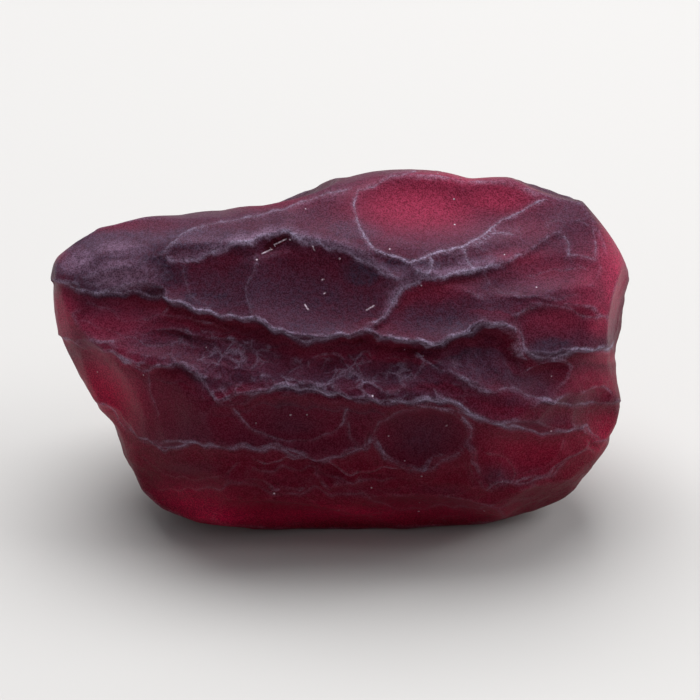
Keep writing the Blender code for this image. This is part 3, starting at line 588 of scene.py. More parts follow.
# Bowls of the face: (u, v) middle, (half width, half height), turn in degrees, depth, and how far
# the bowl's opening is turned upwards.
BOWLS = {
    "top terrace": ((-9.6, 7.6), (7.6, 1.7), 7, 0.3, 0.0),
    "left end": ((-16.6, 5.8), (2.0, 1.4), 0, 0.25, 0.0),
    "top bowl": ((6.4, 8.7), (5.7, 2.8), -4, 0.95, 0.16),
    "back brow": ((1.6, 10.3), (2.2, 0.8), 20, 0.2, 0.0),
    "saddle": ((-0.9, 8.2), (2.0, 1.6), 0, 0.2, 0.0),
    "frosted band": ((-7.8, 7.0), (2.2, 0.6), 12, 0.12, 0.0),
    "left band": ((-12.8, 6.1), (2.1, 0.8), 14, 0.2, 0.0),
    "tongue": ((3.4, 5.1), (1.8, 0.7), -30, 0.32, 0.0),
    "main bowl": ((-1.1, 3.9), (4.4, 3.0), -14, 0.85, 0.0),
    "left bowl": ((-7.7, 4.2), (2.9, 2.0), -14, 0.3, 0.0),
    "left dimple": ((-10.3, 4.5), (1.4, 1.1), 0, 0.3, 0.0),
    "left lip": ((-13.0, 4.3), (2.4, 1.0), 8, 0.3, 0.0),
    "right bowl": ((5.7, 2.6), (3.2, 1.9), 6, 0.6, 0.0),
    "right scallop 1": ((9.8, 4.3), (1.5, 0.9), 10, 0.2, 0.0),
    "right scallop 2": ((12.0, 4.6), (1.8, 1.0), 18, 0.22, 0.0),
    "right scallop 3": ((9.7, 2.8), (1.6, 0.9), -5, 0.2, 0.0),
    "right scallop 4": ((14.6, 3.4), (1.8, 1.0), 0, 0.2, 0.0),
    "first bump": ((6.5, 5.3), (1.3, 0.65), 15, 0.16, 0.1),
    "second bump": ((9.1, 6.1), (1.8, 0.8), 28, 0.18, 0.1),
    "third bump": ((11.7, 7.5), (1.9, 0.8), 38, 0.18, 0.1),
    "right brow": ((13.3, 8.7), (1.7, 1.0), 30, 0.1, 0.0),
    "right chip": ((14.8, 6.8), (1.1, 1.2), 5, 0.12, 0.05),
    "upper dome": ((14.2, 5.0), (1.7, 1.1), 10, 0.2, 0.0),
    "lower dome": ((13.0, 1.0), (2.7, 1.8), 0, 0.3, 0.0),
    "right end": ((16.4, 3.6), (1.5, 2.6), 0, 0.15, 0.0),
    "middle shelf": ((-1.5, -1.0), (4.6, 1.0), -5, 0.2, 0.1),
    "left shelf": ((-12.8, 1.4), (3.8, 1.1), -12, 0.2, 0.1),
    "right shelf": ((12.0, -1.3), (4.0, 0.9), -6, 0.2, 0.1),
    "left flank": ((-14.1, -2.7), (2.2, 2.8), 16, 0.5, 0.05),
    "second flank": ((-10.2, -3.6), (1.9, 2.0), 0, 0.2, 0.05),
    "middle flank": ((-3.9, -4.6), (4.0, 2.1), -4, 0.6, 0.05),
    "low fan": ((0.6, -4.9), (1.9, 1.5), 0, 0.25, 0.05),
    "lens": ((5.0, -5.4), (3.1, 2.3), 0, 0.8, 0.05),
    "right flank": ((11.4, -6.6), (3.9, 2.0), -4, 0.6, 0.05),
    "right corner": ((15.9, -4.4), (1.7, 1.5), 0, 0.25, 0.0),
    "low left": ((-9.0, -7.3), (2.8, 1.4), 0, 0.3, 0.05),
    "low middle": ((-3.5, -8.0), (1.8, 0.8), 0, 0.15, 0.05),
    "low right": ((3.6, -8.9), (2.7, 0.9), 0, 0.2, 0.05),
    "far right": ((9.8, -9.0), (3.0, 0.8), 4, 0.15, 0.0),
    "chip": ((-3.85, 6.65), (1.05, 0.42), 30, 0.22, 0.0),
}
BOWL_RIDGE = 0.3
BOWL_ROUNDNESS = 5.0
# A bowl bends more than the hull it sinks into, by at least a share of its own bend.
HULL_CURVE = 1.0 / 40.0
LEAST_BEND = 0.35
# Rays that can meet a bowl lie within a few of its half widths, and never past the widest angle.
REACH_HALVES, REACH_EDGE, REACH_SPARE = 1.7, 0.3, 1.15
WIDEST_ANGLE = 1.4
# The way out of a surface is measured between rays this far to each side.
FACE_SPREAD, BACK_SPREAD, SCALE_SPREAD = 0.09, 0.15, 0.03
# Any direction that no ray of the stone follows.
SIDEWAYS = np.array([0.31, 0.17, 0.93])
HALVINGS = 24

# Bowls of the back, the ends and the underside are strewn evenly over the hull.
BACK_SEED = 33
BACK_BOWLS = 30
BACK_TRIES = 14
BACK_WIDTH = (4.0, 7.5)
BACK_HEIGHT = (2.4, 3.8)
BACK_DEPTH_SHARE = (0.12, 0.24)
BACK_TURN = 25.0
BACK_TILT = 0.12
BACK_RIDGE = 0.2
# They lie behind the middle, or below the face and not far in front of the middle.
HIDDEN_BEHIND = -0.5
HIDDEN_BELOW, HIDDEN_FRONT = -9.6, 2.0


def face_points(places):
    """The stepped hull's points over (u, v) places of the face, found by halving along w."""
    places = np.array(places)
    near, far = np.zeros(len(places)), np.full(len(places), 1.5 * FACE_DEPTH)
    for _ in range(HALVINGS):
        middle = (near + far) / 2.0
        points = from_face(np.column_stack([places, middle]))
        length = np.linalg.norm(points, axis=1)
        inside = length < stepped_hull(points / length[:, None])
        near, far = np.where(inside, middle, near), np.where(inside, far, middle)
    return from_face(np.column_stack([places, near]))


def four_sides(rays, surface, spread):
    """The surface's points a little to each side of the rays: right, left, over and under."""
    first = unit(np.cross(rays, SIDEWAYS))
    second = np.cross(rays, first)
    sides = [unit(rays + sign * spread * side) for side in (first, second) for sign in (1.0, -1.0)]
    return [side * surface(side)[:, None] for side in sides]


def outward_from(rays, right, left, over, under):
    """The surface's outward directions, square to the lines between its opposite sides."""
    outward = unit(np.cross(right - left, over - under))
    return outward * np.sign((outward * rays).sum(1, keepdims=True))


def bowl_frames(outward, turn):
    """Axes of each bowl as rows: across, up and outward, turned about outward by degrees."""
    up = from_face(np.array([0.0, 1.0, 0.0]))
    up = unit(up - outward * (outward @ up)[:, None])
    across = np.cross(up, outward)
    c, s = np.cos(np.radians(turn))[:, None], np.sin(np.radians(turn))[:, None]
    return np.stack([across * c + up * s, -across * s + up * c, outward], 1)


def make_bowls(points, outward, halves, turn, depth, ridge):
    """Ellipsoids that each sink depth below a point and open there to about the halves given. Each
    is its middle, axes, radii, direction, least cosine of a ray that can meet it, and ridge."""
    thick = BOWL_ROUNDNESS * depth
    bend = 2.0 * depth[:, None] / halves ** 2
    bend = np.maximum(bend - HULL_CURVE, LEAST_BEND * bend)
    radii = np.column_stack([np.sqrt(thick[:, None] / bend), thick])
    middles = points + outward * (thick - depth)[:, None]
    frames = bowl_frames(outward, turn)
    length = np.linalg.norm(points, axis=1)
    angle = REACH_SPARE * (REACH_HALVES * halves.max(1) + REACH_EDGE) / length
    least = np.cos(np.minimum(WIDEST_ANGLE, angle))
    towards, ridges = points / length[:, None], [ridge] * len(points)
    return list(zip(middles, frames, radii, towards, least, ridges))


def cut_bowls(distance, rays, bowls):
    """The distance less the bowls: along each ray the near side of an ellipsoid, if nearer."""
    distance = distance.copy()
    for middle, frame, radii, towards, least, ridge in bowls:
        chosen = np.nonzero(rays @ towards > least)[0]
        squash = frame / radii[:, None]
        start = squash @ -middle
        step = rays[chosen] @ squash.T
        a, b, c = (step * step).sum(1), step @ start, start @ start - 1.0
        root = b * b - a * c
        near = np.where(root > 0.0, (-b - np.sqrt(np.maximum(root, 0.0))) / a, FAR_OFF)
        near = np.where(near > 0.0, near, FAR_OFF)
        distance[chosen] = lesser(distance[chosen], near, ridge)
    return distance


def face_bowls():
    """The named bowls of the face, set square to the surface a little way round each."""
    columns = (np.array(column, float) for column in zip(*BOWLS.values()))
    places, halves, turn, depth, lift = columns
    points = face_points(places)
    rays = unit(points)
    outward = outward_from(rays, *four_sides(rays, stepped_hull, FACE_SPREAD))
    outward = unit(outward + lift[:, None] * np.array([0.0, 0.0, 1.0]))
    return make_bowls(points, outward, halves, turn, depth, BOWL_RIDGE)


def strewn_rays(chance):
    """Directions to the hidden sides, each as far from the earlier ones as a few tries allow."""
    chosen = []
    while len(chosen) < BACK_BOWLS:
        rays = unit(chance.normal(size=(6 * BACK_TRIES, 3)))
        points = rays * hull(rays)[:, None]
        face = to_face(points)
        hidden = face[:, 2] < HIDDEN_BEHIND
        hidden = hidden | ((face[:, 1] < HIDDEN_BELOW) & (face[:, 2] < HIDDEN_FRONT))
        points = points[hidden][:BACK_TRIES]
        gaps = [min((np.linalg.norm(point - other) for other in chosen), default=0.0)
                for point in points]
        chosen.append(points[int(np.argmax(gaps))])
    return unit(np.array(chosen))


def back_bowls():
    """Bowls strewn over the back, the ends and the underside, each tipped a little at random."""
    chance = np.random.default_rng(BACK_SEED)
    rays = strewn_rays(chance)
    points = rays * stepped_hull(rays)[:, None]
    outward = outward_from(rays, *four_sides(rays, stepped_hull, BACK_SPREAD))
    outward = unit(outward + chance.normal(0.0, BACK_TILT, (BACK_BOWLS, 3)))
    width = chance.uniform(*BACK_WIDTH, BACK_BOWLS)
    height = chance.uniform(*BACK_HEIGHT, BACK_BOWLS)
    halves = np.column_stack([width, height])
    depth = height * chance.uniform(*BACK_DEPTH_SHARE, BACK_BOWLS)
    turn = chance.uniform(-BACK_TURN, BACK_TURN, BACK_BOWLS)
    return make_bowls(points, outward, halves, turn, depth, BACK_RIDGE)


# ---- Cups and scales ----------------------------------------------------------------------------
# Between and inside the bowls the glass is etched into cups a few millimetres wide. Smaller ones
# crowd on the shelf, the lips and the lowest band, and flat scales a millimetre or two wide lie
# along the shelf.

# Cups: cell size along X, Y and Z, seed, and depth on the face, in its low band and on the back.
CUPS = [
    ((3.4, 2.4, 2.0), 9, 0.08, 0.18, 0.28),
    ((6.5, 4.6, 4.2), 13, 0.0, 0.0, 0.55),
]
LOW_BAND = -6.2
CUP_MIDDLE = 0.43
CUP_EDGE, CUP_BLEND = 1.0, 2.0
# The smallest cups: cells, and depth everywhere, where the face is scaly and on the back.
SMALL_CELL = (1.35, 0.9, 0.8)
SMALL_SEED = 5
SMALL_DEPTHS = (0.02, 0.13, 0.05)
# Large primes that mix a cell's indices and its seed, and how the mixture is stirred.
CELL_PRIMES = (73856093, 19349663, 83492791)
SEED_PRIME = 2654435
STIRS = [(15, 2246822519), (13, 3266489917)]
LOW_BITS = 0xFFFFFFFF

# Scales: how many, range of u, the ledge they follow, range of v from its brim, range of half
# heights, depth, and how many times wider than high they may be.
SCALES = [
    (30, (-12.0, 8.0), "shelf", (0.15, 1.7), (0.4, 0.8), 0.15, 2.4),
    (8, (-17.0, -10.0), "shelf", (0.2, 2.6), (0.5, 1.0), 0.10, 2.4),
    (14, (7.0, 17.0), "shelf", (0.2, 3.0), (0.5, 1.0), 0.17, 2.4),
]
SCALE_SEED = 71
SCALE_RIDGE = 0.15
SCALE_TILT, SCALE_LIFT, SCALE_TURN = 0.1, 0.12, 30.0

# The scaly places of the face, each a window in u and v: how scaly it is, where it begins and
# ends, and how soft those edges are. The shelf's begins below the groove's brim and ends above the
# shelf's.
SHELF_U = (-12.0, 5.0, 8.0, 3.0)
SHELF_V = (0.3, 0.4, 0.9, 0.5)
SHELF_LEAST = 0.15
LOW_SCALES = 0.1
STRIP_LINE = [(-20.0, 9.0), (3.9, 4.2), (10.0, 6.0), (14.5, 8.1), (20.0, 12.0)]
STRIP_SCALES, STRIP_U, STRIP_V = 0.3, (4.0, 1.0, 14.5, 1.5), (0.0, 0.4, 1.9, 0.6)
LIP_SCALES, LIP_U, LIP_V = 0.25, (-30.0, 1.0, -9.0, 1.5), (3.9, 0.5, 6.2, 0.5)


def scattered(cells, seed):
    """A point in each cell of a grid, as shares of the cell, from a mixing of its indices."""
    first, second, third = (cells[..., axis] * prime for axis, prime in enumerate(CELL_PRIMES))
    mixed = first ^ second ^ third ^ seed * SEED_PRIME
    for turn, factor in STIRS:
        mixed = (mixed ^ (mixed >> turn)) * factor & LOW_BITS
    mixed = mixed ^ (mixed >> 16)
    return np.stack([mixed & 1023, (mixed >> 10) & 1023, (mixed >> 20) & 1023], -1) / 1023.0


def window(value, start, start_blend, end, end_blend):
    """From 0 to 1: rising from the start of a range, falling to its end, each over a blend."""
    return smooth((value - start) / start_blend) * smooth((end - value) / end_blend)


def cups(points, size, seed):
    """Squared distance to the nearest scattered point, in cells: cups meeting in ridges."""
    spots = points / np.array(size)
    home = np.floor(spots).astype(np.int64)
    nearest = np.ones(spots.shape[:-1])
    for offset in np.ndindex(3, 3, 3):
        cells = home + np.array(offset) - 1
        nearest = np.minimum(nearest, ((cells + scattered(cells, seed) - spots) ** 2).sum(-1))
    return nearest


def scaly_share(face):
    """From 0 to 1, how scaly the skin is: the sum of the shelf under the groove, the lowest band,
    the strip of bumps under the top bowl and the left lip, on the face alone."""
    u, v = face[..., 0], face[..., 1]
    above_shelf, shelf_blend, below_groove, groove_blend = SHELF_V
    shelf, groove = along(LEDGES["shelf"][0], u), along(LEDGES["groove"][0], u)
    on_shelf = window(v, shelf - above_shelf, shelf_blend, groove - below_groove, groove_blend)
    on_shelf = on_shelf * (SHELF_LEAST + (1.0 - SHELF_LEAST) * window(u, *SHELF_U))
    low = LOW_SCALES * smooth(LOW_BAND - v)
    strip = STRIP_SCALES * window(v - along(STRIP_LINE, u), *STRIP_V) * window(u, *STRIP_U)
    lip = LIP_SCALES * window(v, *LIP_V) * window(u, *LIP_U)
    return np.clip(on_shelf + low + strip + lip, 0.0, 1.0) * face_share(face, CUP_EDGE, CUP_BLEND)


def etch(distance, rays):
    """The distance with the cups etched in, deepest on the back, the low band and the scaly
    strips, and the fine crests raised as bells of the distance from their lines."""
    points = rays * distance[..., None]
    face = to_face(points)
    on_face = face_share(face, CUP_EDGE, CUP_BLEND)
    low = smooth(LOW_BAND - face[..., 1]) * on_face
    etched = distance
    for size, seed, on_front, in_band, on_back in CUPS:
        depth = on_front * on_face + (in_band - on_front) * low + on_back * (1.0 - on_face)
        etched = etched + depth * (cups(points, size, seed) - CUP_MIDDLE)
    raised = np.zeros(on_face.shape)
    for corners, strength in CRESTS.values():
        away = from_line(corners, *half_crinkled(face)) / CREST_WIDTH
        raised = np.maximum(raised, strength * np.exp(-away * away))
    etched = etched + CREST_HEIGHT * raised * on_face
    plain, scaly, back = SMALL_DEPTHS
    depth = plain + scaly * scaly_share(face) + back * (1.0 - on_face)
    return etched + depth * (cups(points, SMALL_CELL, SMALL_SEED) - CUP_MIDDLE)


def bowled(rays):
    """Distance to the stepped hull with all its bowls."""
    distance = cut_bowls(stepped_hull(rays), rays, FACE_BOWLS)
    return cut_bowls(distance, rays, HIDDEN_BOWLS)


def scales(chance, count, u_range, ledge, v_range, half_range, depth, widest):
    """Flat little bowls strewn along a ledge of the face, a little wider than high."""
    u = chance.uniform(*u_range, count)
    v = chance.uniform(*v_range, count) + brim_height(ledge, u)
    rays = unit(face_points(np.column_stack([u, v])))
    points = rays * bowled(rays)[:, None]
    outward = outward_from(rays, *four_sides(rays, bowled, SCALE_SPREAD))
    tilt = chance.normal(0.0, SCALE_TILT, (count, 3))
    outward = unit(outward + tilt + np.array([0.0, 0.0, SCALE_LIFT]))
    high = chance.uniform(*half_range, count)
    halves = np.column_stack([high * chance.uniform(1.0, widest, count), high])
    turn = chance.uniform(-SCALE_TURN, SCALE_TURN, count)
    return make_bowls(points, outward, halves, turn, depth * high / half_range[1], SCALE_RIDGE)


FACE_BOWLS = face_bowls()
HIDDEN_BOWLS = back_bowls()
scale_chance = np.random.default_rng(SCALE_SEED)
FACE_SCALES = []
for strip in SCALES:
    FACE_SCALES += scales(scale_chance, *strip)


# ---- The chip and the scratches -----------------------------------------------------------------
# A small fresh flake has sprung off the crest over the main bowl and left a dark nick with two
# bright broken edges. A few short scratches as bright as the edges are strewn over the face.
NICK_PLACE = (-3.85, 6.65)
NICK_HALVES = (1.08, 0.36)
NICK_TURN = radians(30.0)
# Each scratch runs from one (u, v) to another.
SCRATCHES = [
    ((-4.77, 5.95), (-4.0, 6.29)),
    ((-4.09, 6.46), (-3.16, 6.89)),
    ((-2.15, 2.95), (-1.85, 2.5)),
    ((1.55, 2.5), (2.15, 2.85)),
    ((-1.65, 6.5), (-1.5, 6.1)),
    ((-1.15, 4.35), (-0.9, 4.45)),
    ((-1.0, 3.5), (-0.8, 3.65)),
    ((6.4, -4.5), (6.6, -4.45)),
]


def nick_share(points):
    """How deep in the nick a point lies: one less its distance from the middle in half sizes."""
    face = to_face(points)
    u, v = face[:, 0] - NICK_PLACE[0], face[:, 1] - NICK_PLACE[1]
    onward = (u * cos(NICK_TURN) + v * sin(NICK_TURN)) / NICK_HALVES[0]
    aside = (v * cos(NICK_TURN) - u * sin(NICK_TURN)) / NICK_HALVES[1]
    return np.where(face[:, 2] > 0.0, np.clip(1.0 - np.hypot(onward, aside), -1.0, 1.0), -1.0)


def scratch_marks(points):
    """For the nearest scratch: how far to its side and how far inside its ends a point lies."""
    face = to_face(points)
    u, v = face[:, 0], face[:, 1]
    across, within, least = np.ones(len(u)), -np.ones(len(u)), np.full(len(u), np.inf)
    for (u0, v0), (u1, v1) in SCRATCHES:
        length = np.hypot(u1 - u0, v1 - v0)
        onward = ((u - u0) * (u1 - u0) + (v - v0) * (v1 - v0)) / length
        aside = ((u - u0) * (v1 - v0) - (v - v0) * (u1 - u0)) / length
        inside = np.where(face[:, 2] > 0.0, length / 2.0 - np.abs(onward - length / 2.0), -1.0)
        away = np.maximum(np.abs(aside), -inside)
        closer = away < least
        across, within = np.where(closer, aside, across), np.where(closer, inside, within)
        least = np.minimum(least, away)
    across, within = np.clip(across, -1.0, 1.0), np.clip(within, -1.0, 1.0)
    return {"scratch_across": across, "scratch_within": within}


# ---- The pebble ---------------------------------------------------------------------------------
# One solid piece of glass with nothing set in it. It rests on a small flat worn on its underside,
# whose edge is rounded by a fraction of a millimetre. The mesh is a net of rays from end to end
# and round.
FOOT_LEVEL = -10.7
FOOT_EDGE = 0.5
LEAST_DOWN = 0.001
RAY_STRETCH = np.array([18.0, 10.5, 10.5])
RINGS = 280
ROUND = 352
CROWDING = 0.38
# Clear windows in the face's frost, with painted glow: (u, v) middle, half sizes, and strength.
CLEAR_AND_GLOW_SPOTS = [
    ((4.9, 9.1), (4.6, 2.0), 1.0), ((7.0, 10.6), (4.6, 0.9), 0.9), ((9.6, 9.6), (3.0, 1.2), 1.0),
    ((11.0, 5.7), (2.4, 0.7), 0.5), ((11.4, 7.7), (2.2, 1.2), 0.3), ((12.5, 5.1), (2.8, 1.4), 0.4),
    ((6.4, 3.6), (2.4, 0.9), 0.3), ((13.7, 2.0), (2.6, 1.2), 0.45), ((15.9, 1.9), (1.2, 1.1), 0.9),
    ((15.6, 3.8), (2.2, 3.4), 0.55), ((16.9, 5.2), (1.4, 3.8), 1.0),
    ((16.6, -0.3), (1.6, 0.4), 0.9), ((15.8, -1.8), (2.6, 1.0), 0.4),
    ((-14.4, -2.4), (2.6, 3.2), 0.85), ((-14.4, 1.6), (3.6, 1.2), 0.55),
    ((-17.3, 2.2), (1.3, 2.4), 0.85), ((-9.6, -9.3), (2.6, 1.0), 0.75),
    ((-8.0, -10.3), (3.4, 0.9), 0.9), ((11.8, -5.8), (3.0, 1.5), 0.26),
    ((16.6, -5.2), (1.4, 1.3), 0.6), ((-4.4, 9.2), (3.4, 0.7), 0.5),
    ((-14.0, 7.9), (3.4, 0.7), 0.4), ((-17.3, 6.0), (1.0, 0.8), 0.5),
    ((1.0, -10.5), (9.0, 0.9), 0.8), ((-1.0, -0.6), (5.0, 0.7), 0.3),
]
# Where the frost lies thickest on the face, in the same way; partly painted light on shaded parts.
FROST_AND_PAINTED_LIGHT_SPOTS = [
    ((-13.4, 4.7), (4.0, 1.6), 1.0), ((-16.2, 5.6), (2.2, 1.6), 0.95),
    ((-13.5, 6.4), (3.6, 1.2), 0.85), ((1.4, 4.8), (1.6, 1.1), 0.55),
    ((-8.4, 6.9), (4.2, 0.8), 0.75), ((4.2, 5.0), (2.6, 0.8), 0.75), ((9.0, 5.6), (2.4, 0.5), 0.5),
    ((1.0, 7.4), (2.6, 1.0), 0.5), ((-8.4, 3.2), (3.2, 1.1), 0.48),
    ((-1.2, 3.0), (3.8, 2.0), 0.42), ((-1.4, 1.5), (3.2, 0.9), 0.5), ((6.2, 1.7), (3.8, 1.0), 0.5),
    ((12.9, 0.3), (1.8, 0.7), 0.6), ((14.8, 6.8), (0.9, 1.2), 0.3),
    ((-2.5, -2.1), (4.0, 0.4), 0.35), ((4.2, -2.6), (4.5, 0.5), 0.3),
    ((5.1, -5.6), (2.6, 1.7), 0.28), ((-2.6, -4.6), (2.2, 0.8), 0.22),
    ((9.5, -7.6), (1.5, 0.9), 0.28), ((6.2, -8.5), (2.2, 0.5), 0.2),
    ((-9.2, -7.2), (2.4, 0.7), 0.2), ((-2.6, -7.8), (3.0, 0.5), 0.15),
    ((12.0, -4.3), (3.2, 0.5), 0.25),
]
# Clear windows strewn over the rest of the skin: their strength, and the square of their reach.
CLEAR_SEED = 17
HIDDEN_SPOTS = 14
HIDDEN_CLEAR = 0.8
HIDDEN_REACH = (4.0, 12.0)
# How far off a point's neighbours lie, to tell a ridge and to tell which way the skin faces.
RIDGE_REACH = 0.26
SLOPE_REACH = 1.1
# Wear and scales on the back, in patches where two waves along X and Z multiply.
BACK_WEAR = 1.5
BACK_SCALES = 0.45
PATCH_BEATS = (0.9, 1.0, 0.8, 0.4)


def stone_rays(onward, around):
    """Rays at shares of the way from the left end to the right and round the stone, stretched to
    it. Round the stone they crowd towards the face, by a sine of the share."""
    slant = pi * onward
    turn = pi - FACE_TILT + 2.0 * pi * around - CROWDING * np.sin(2.0 * pi * around)
    ring = np.sin(slant)
    sphere = np.stack([-np.cos(slant), ring * np.cos(turn), ring * np.sin(turn)], -1)
    return unit(sphere * RAY_STRETCH)


def stone_distance(rays):
    """Distance to the finished skin: hull, bowls, scales and cups, cut off level at the foot."""
    distance = etch(cut_bowls(bowled(rays), rays, FACE_SCALES), rays)
    down = np.minimum(rays[:, 2], -LEAST_DOWN)
    foot = np.where(rays[:, 2] < -LEAST_DOWN, FOOT_LEVEL / down, FAR_OFF)
    return lesser(distance, foot, FOOT_EDGE)


def stands_proud(rays, points, reach):
    """How far each point stands above the mean of four neighbours at that reach, as a share of the
    reach, and which way the skin faces there."""
    sides = four_sides(rays, stone_distance, reach / np.linalg.norm(points, axis=1)[:, None])
    outward = outward_from(rays, *sides)
    return ((points - sum(sides) / 4.0) * outward).sum(1) / reach, outward


def net_faces(rings, around):
    """Corner numbers of the net: a fan at each end and quads between the rings."""
    ring = 1 + around * np.arange(rings - 2)[:, None]
    here, there = np.arange(around), (np.arange(around) + 1) % around
    quads = np.stack([ring + here, ring + there, ring + around + there, ring + around + here], -1)
    last = 1 + around * (rings - 1)
    start = np.column_stack([np.zeros(around, int), 1 + there, 1 + here])
    end = np.column_stack([np.full(around, last), last - around + here, last - around + there])
    return start.tolist() + quads.reshape(-1, 4).tolist() + end.tolist()


def net_rays():
    """The net's rays: the left end, ring by ring, and the right end."""
    shares = np.arange(1, RINGS) / RINGS, np.arange(ROUND) / ROUND
    onward, around = np.meshgrid(*shares, indexing="ij")
    ends = np.array([[-1.0, 0.0, 0.0], [1.0, 0.0, 0.0]])
    return np.concatenate([ends[:1], stone_rays(onward.ravel(), around.ravel()), ends[1:]])


def add_object(name, data):
    """A new object in the scene that holds the data, at the origin."""
    made = bpy.data.objects.new(name, data)
    bpy.context.scene.collection.objects.link(made)
    return made


def spots_on_face(points, spots):
    """From 0 to 1, the greatest of soft spots: each a bell of the distance from its middle over
    its half sizes."""
    face = to_face(points)
    share = np.zeros(len(points))
    for (u, v), (half_u, half_v), strength in spots:
        away = ((face[:, 0] - u) / half_u) ** 2 + ((face[:, 1] - v) / half_v) ** 2
        share = np.maximum(share, strength * np.exp(-away))
    return share * face_share(face)


# The clear share also sets where painted glow brightens the glass, as if light shone through it.
def clear_and_glow_windows(points):
    """From 0 to 1, how clear the skin is: the face's spots, and others strewn over the rest."""
    clear = spots_on_face(points, CLEAR_AND_GLOW_SPOTS)
    behind = 1.0 - face_share(to_face(points))
    chance = np.random.default_rng(CLEAR_SEED)
    for ray in unit(chance.normal(size=(HIDDEN_SPOTS, 3))):
        away = ((points - ray * hull(ray[None])[0]) ** 2).sum(1) / chance.uniform(*HIDDEN_REACH)
        clear = np.maximum(clear, HIDDEN_CLEAR * np.exp(-away) * behind)
    return clear


def skin_marks(rays, skin):
    """The numbers that the glass's finish follows, for each point of the skin."""
    ridge, _ = stands_proud(rays, skin, RIDGE_REACH)
    _, outward = stands_proud(rays, skin, SLOPE_REACH)
    face = to_face(skin)
    behind = 1.0 - face_share(face)
    x, z = skin[:, 0], skin[:, 2]
    x_beat, x_phase, z_beat, z_lean = PATCH_BEATS
    patches = smooth(0.5 + 0.5 * np.sin(x_beat * x + x_phase) * np.sin(z_beat * z + z_lean * x))
    # Among these, lip, brow and frosted carry painted light, shade carries painted shade, and
    # clear carries painted glow.
    return {
        "crest": np.clip(ridge * (1.0 + BACK_WEAR * behind), 0.0, 1.0),
        "upward": outward[:, 2],
        "clear": clear_and_glow_windows(skin),
        "frosted": spots_on_face(skin, FROST_AND_PAINTED_LIGHT_SPOTS),
        "nick": nick_share(skin),
        "scaly": np.maximum(scaly_share(face), BACK_SCALES * behind * patches),
        "height": (z - FOOT_LEVEL) / (z.max() - FOOT_LEVEL),
        **ledge_marks(skin),
        **crest_marks(skin),
        **scratch_marks(skin),
    }


rays = net_rays()
skin = rays * stone_distance(rays)[:, None]

# The stone stands in the middle of its node, with its foot at the node's lowest level.
low_corner, high_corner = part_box("saffordite")
skin_middle = (skin.min(0) + skin.max(0)) / 2.0
node_middle = (np.array(low_corner[:2]) + np.array(high_corner[:2])) / 2.0
shift = np.array([*node_middle, low_corner[2]])
shift = shift - np.array([skin_middle[0], skin_middle[1], FOOT_LEVEL]) * MM

stone_mesh = bpy.data.meshes.new("pebble")
stone_mesh.from_pydata((skin * MM + shift).tolist(), [], net_faces(RINGS, ROUND))
stone_mesh.update()
stone_mesh.shade_smooth()
for name, values in skin_marks(rays, skin).items():
    attribute = stone_mesh.attributes.new(name, "FLOAT", "POINT")
    attribute.data.foreach_set("value", np.asarray(values, np.float32))
stone = add_object("frosted_pebble", stone_mesh)


# ---- Frosted glass ------------------------------------------------------------------------------
# Dark glass that lets wine-red light through its thin edges, under a skin etched matt. The skin is
# blue-grey where it faces up, with painted light on lips and over the top brims, palest along worn
# ridges, and dark with painted shade, clear of frost, under the ledges. Painted glow brightens its
# thin parts, and painted shade darkens its tops.
GLASS_IOR = 1.49
GLASS_CLARITY = 0.5
GLASS_SHEEN_TINT = (0.42, 0.14, 0.25, 1.0)
GLASS_SHEEN_LEVEL = 0.05
GLASS_TINT = (0.75, 0.04, 0.12, 1.0)
GLASS_DENSITY = 420.0
# The shadow colour is painted shade under the brims, the two clear colours painted glow through
# thin glass, and the heavy frost partly a painted highlight.
WINE = (0.142, 0.006, 0.024, 1.0)
AUBERGINE = (0.10, 0.010, 0.028, 1.0)
DEEP_RED = (0.168, 0.001, 0.014, 1.0)
SHADOW = (0.18, 0.013, 0.030, 1.0)
PAINTED_GLOW_WINE = (0.57, 0.048, 0.12, 1.0)
PAINTED_GLOW_RED = (0.62, 0.006, 0.065, 1.0)
FROST = (0.046, 0.034, 0.064, 1.0)
HEAVY_FROST_HIGHLIGHT = (0.33, 0.20, 0.32, 1.0)
PALE_FROST = (0.40, 0.33, 0.48, 1.0)
FRESH_GLASS = (0.05, 0.004, 0.010, 1.0)
DUST = (0.80, 0.66, 0.78, 1.0)
# Sizes in metres of the glass's clouds, its patches and grain of frost, and its finest speckle.
CLOUD_SIZE, PATCH_SIZE, GRAIN_SIZE, FINE_SIZE = 0.0055, 0.0016, 0.00028, 0.00009
# Pale lines lie this many millimetres over a brim, and stray this far from it.
LINE_RISE, LINE_STRAY = 0.09, 0.14
# The net on scaly glass: cells to the metre, and how it is bent out of straight.
NET_CELLS, NET_BEND_CELLS, NET_BEND = 1150.0, 1400.0, (0.0005, 0.0005, 0.0005)
# Specks of dust: cells to the metre, and the share of cells that hold none.
SPECK_CELLS, SPECKLESS = 1000.0, 0.85
BUMP_DEPTH, BUMP_STRENGTH = 0.00006, 0.8

glass = bpy.data.materials.new("frosted volcanic glass")
glass.use_nodes = True
glass_nodes, glass_links = glass.node_tree.nodes, glass.node_tree.links


def add_node(kind, settings=None, inputs=None):
    """A node of the glass with its settings, whose inputs are values or other nodes' outputs."""
    made = glass_nodes.new(kind)
    for name, value in (settings or {}).items():
        setattr(made, name, value)
    for socket, value in (inputs or {}).items():
        if isinstance(value, bpy.types.NodeSocket):
            glass_links.new(value, made.inputs[socket])
        else:
            made.inputs[socket].default_value = value
    return made


def joined(operation, first, *others):
    """Numbers joined one after another by one kind of arithmetic."""
    for other in others:
        inputs = {0: first, 1: other}
        first = add_node("ShaderNodeMath", {"operation": operation}, inputs).outputs[0]
    return first


def product(*shares):
    """Several shares multiplied together."""
    return joined("MULTIPLY", *shares)


def greatest(*shares):
    """The greatest of several shares."""
    return joined("MAXIMUM", *shares)


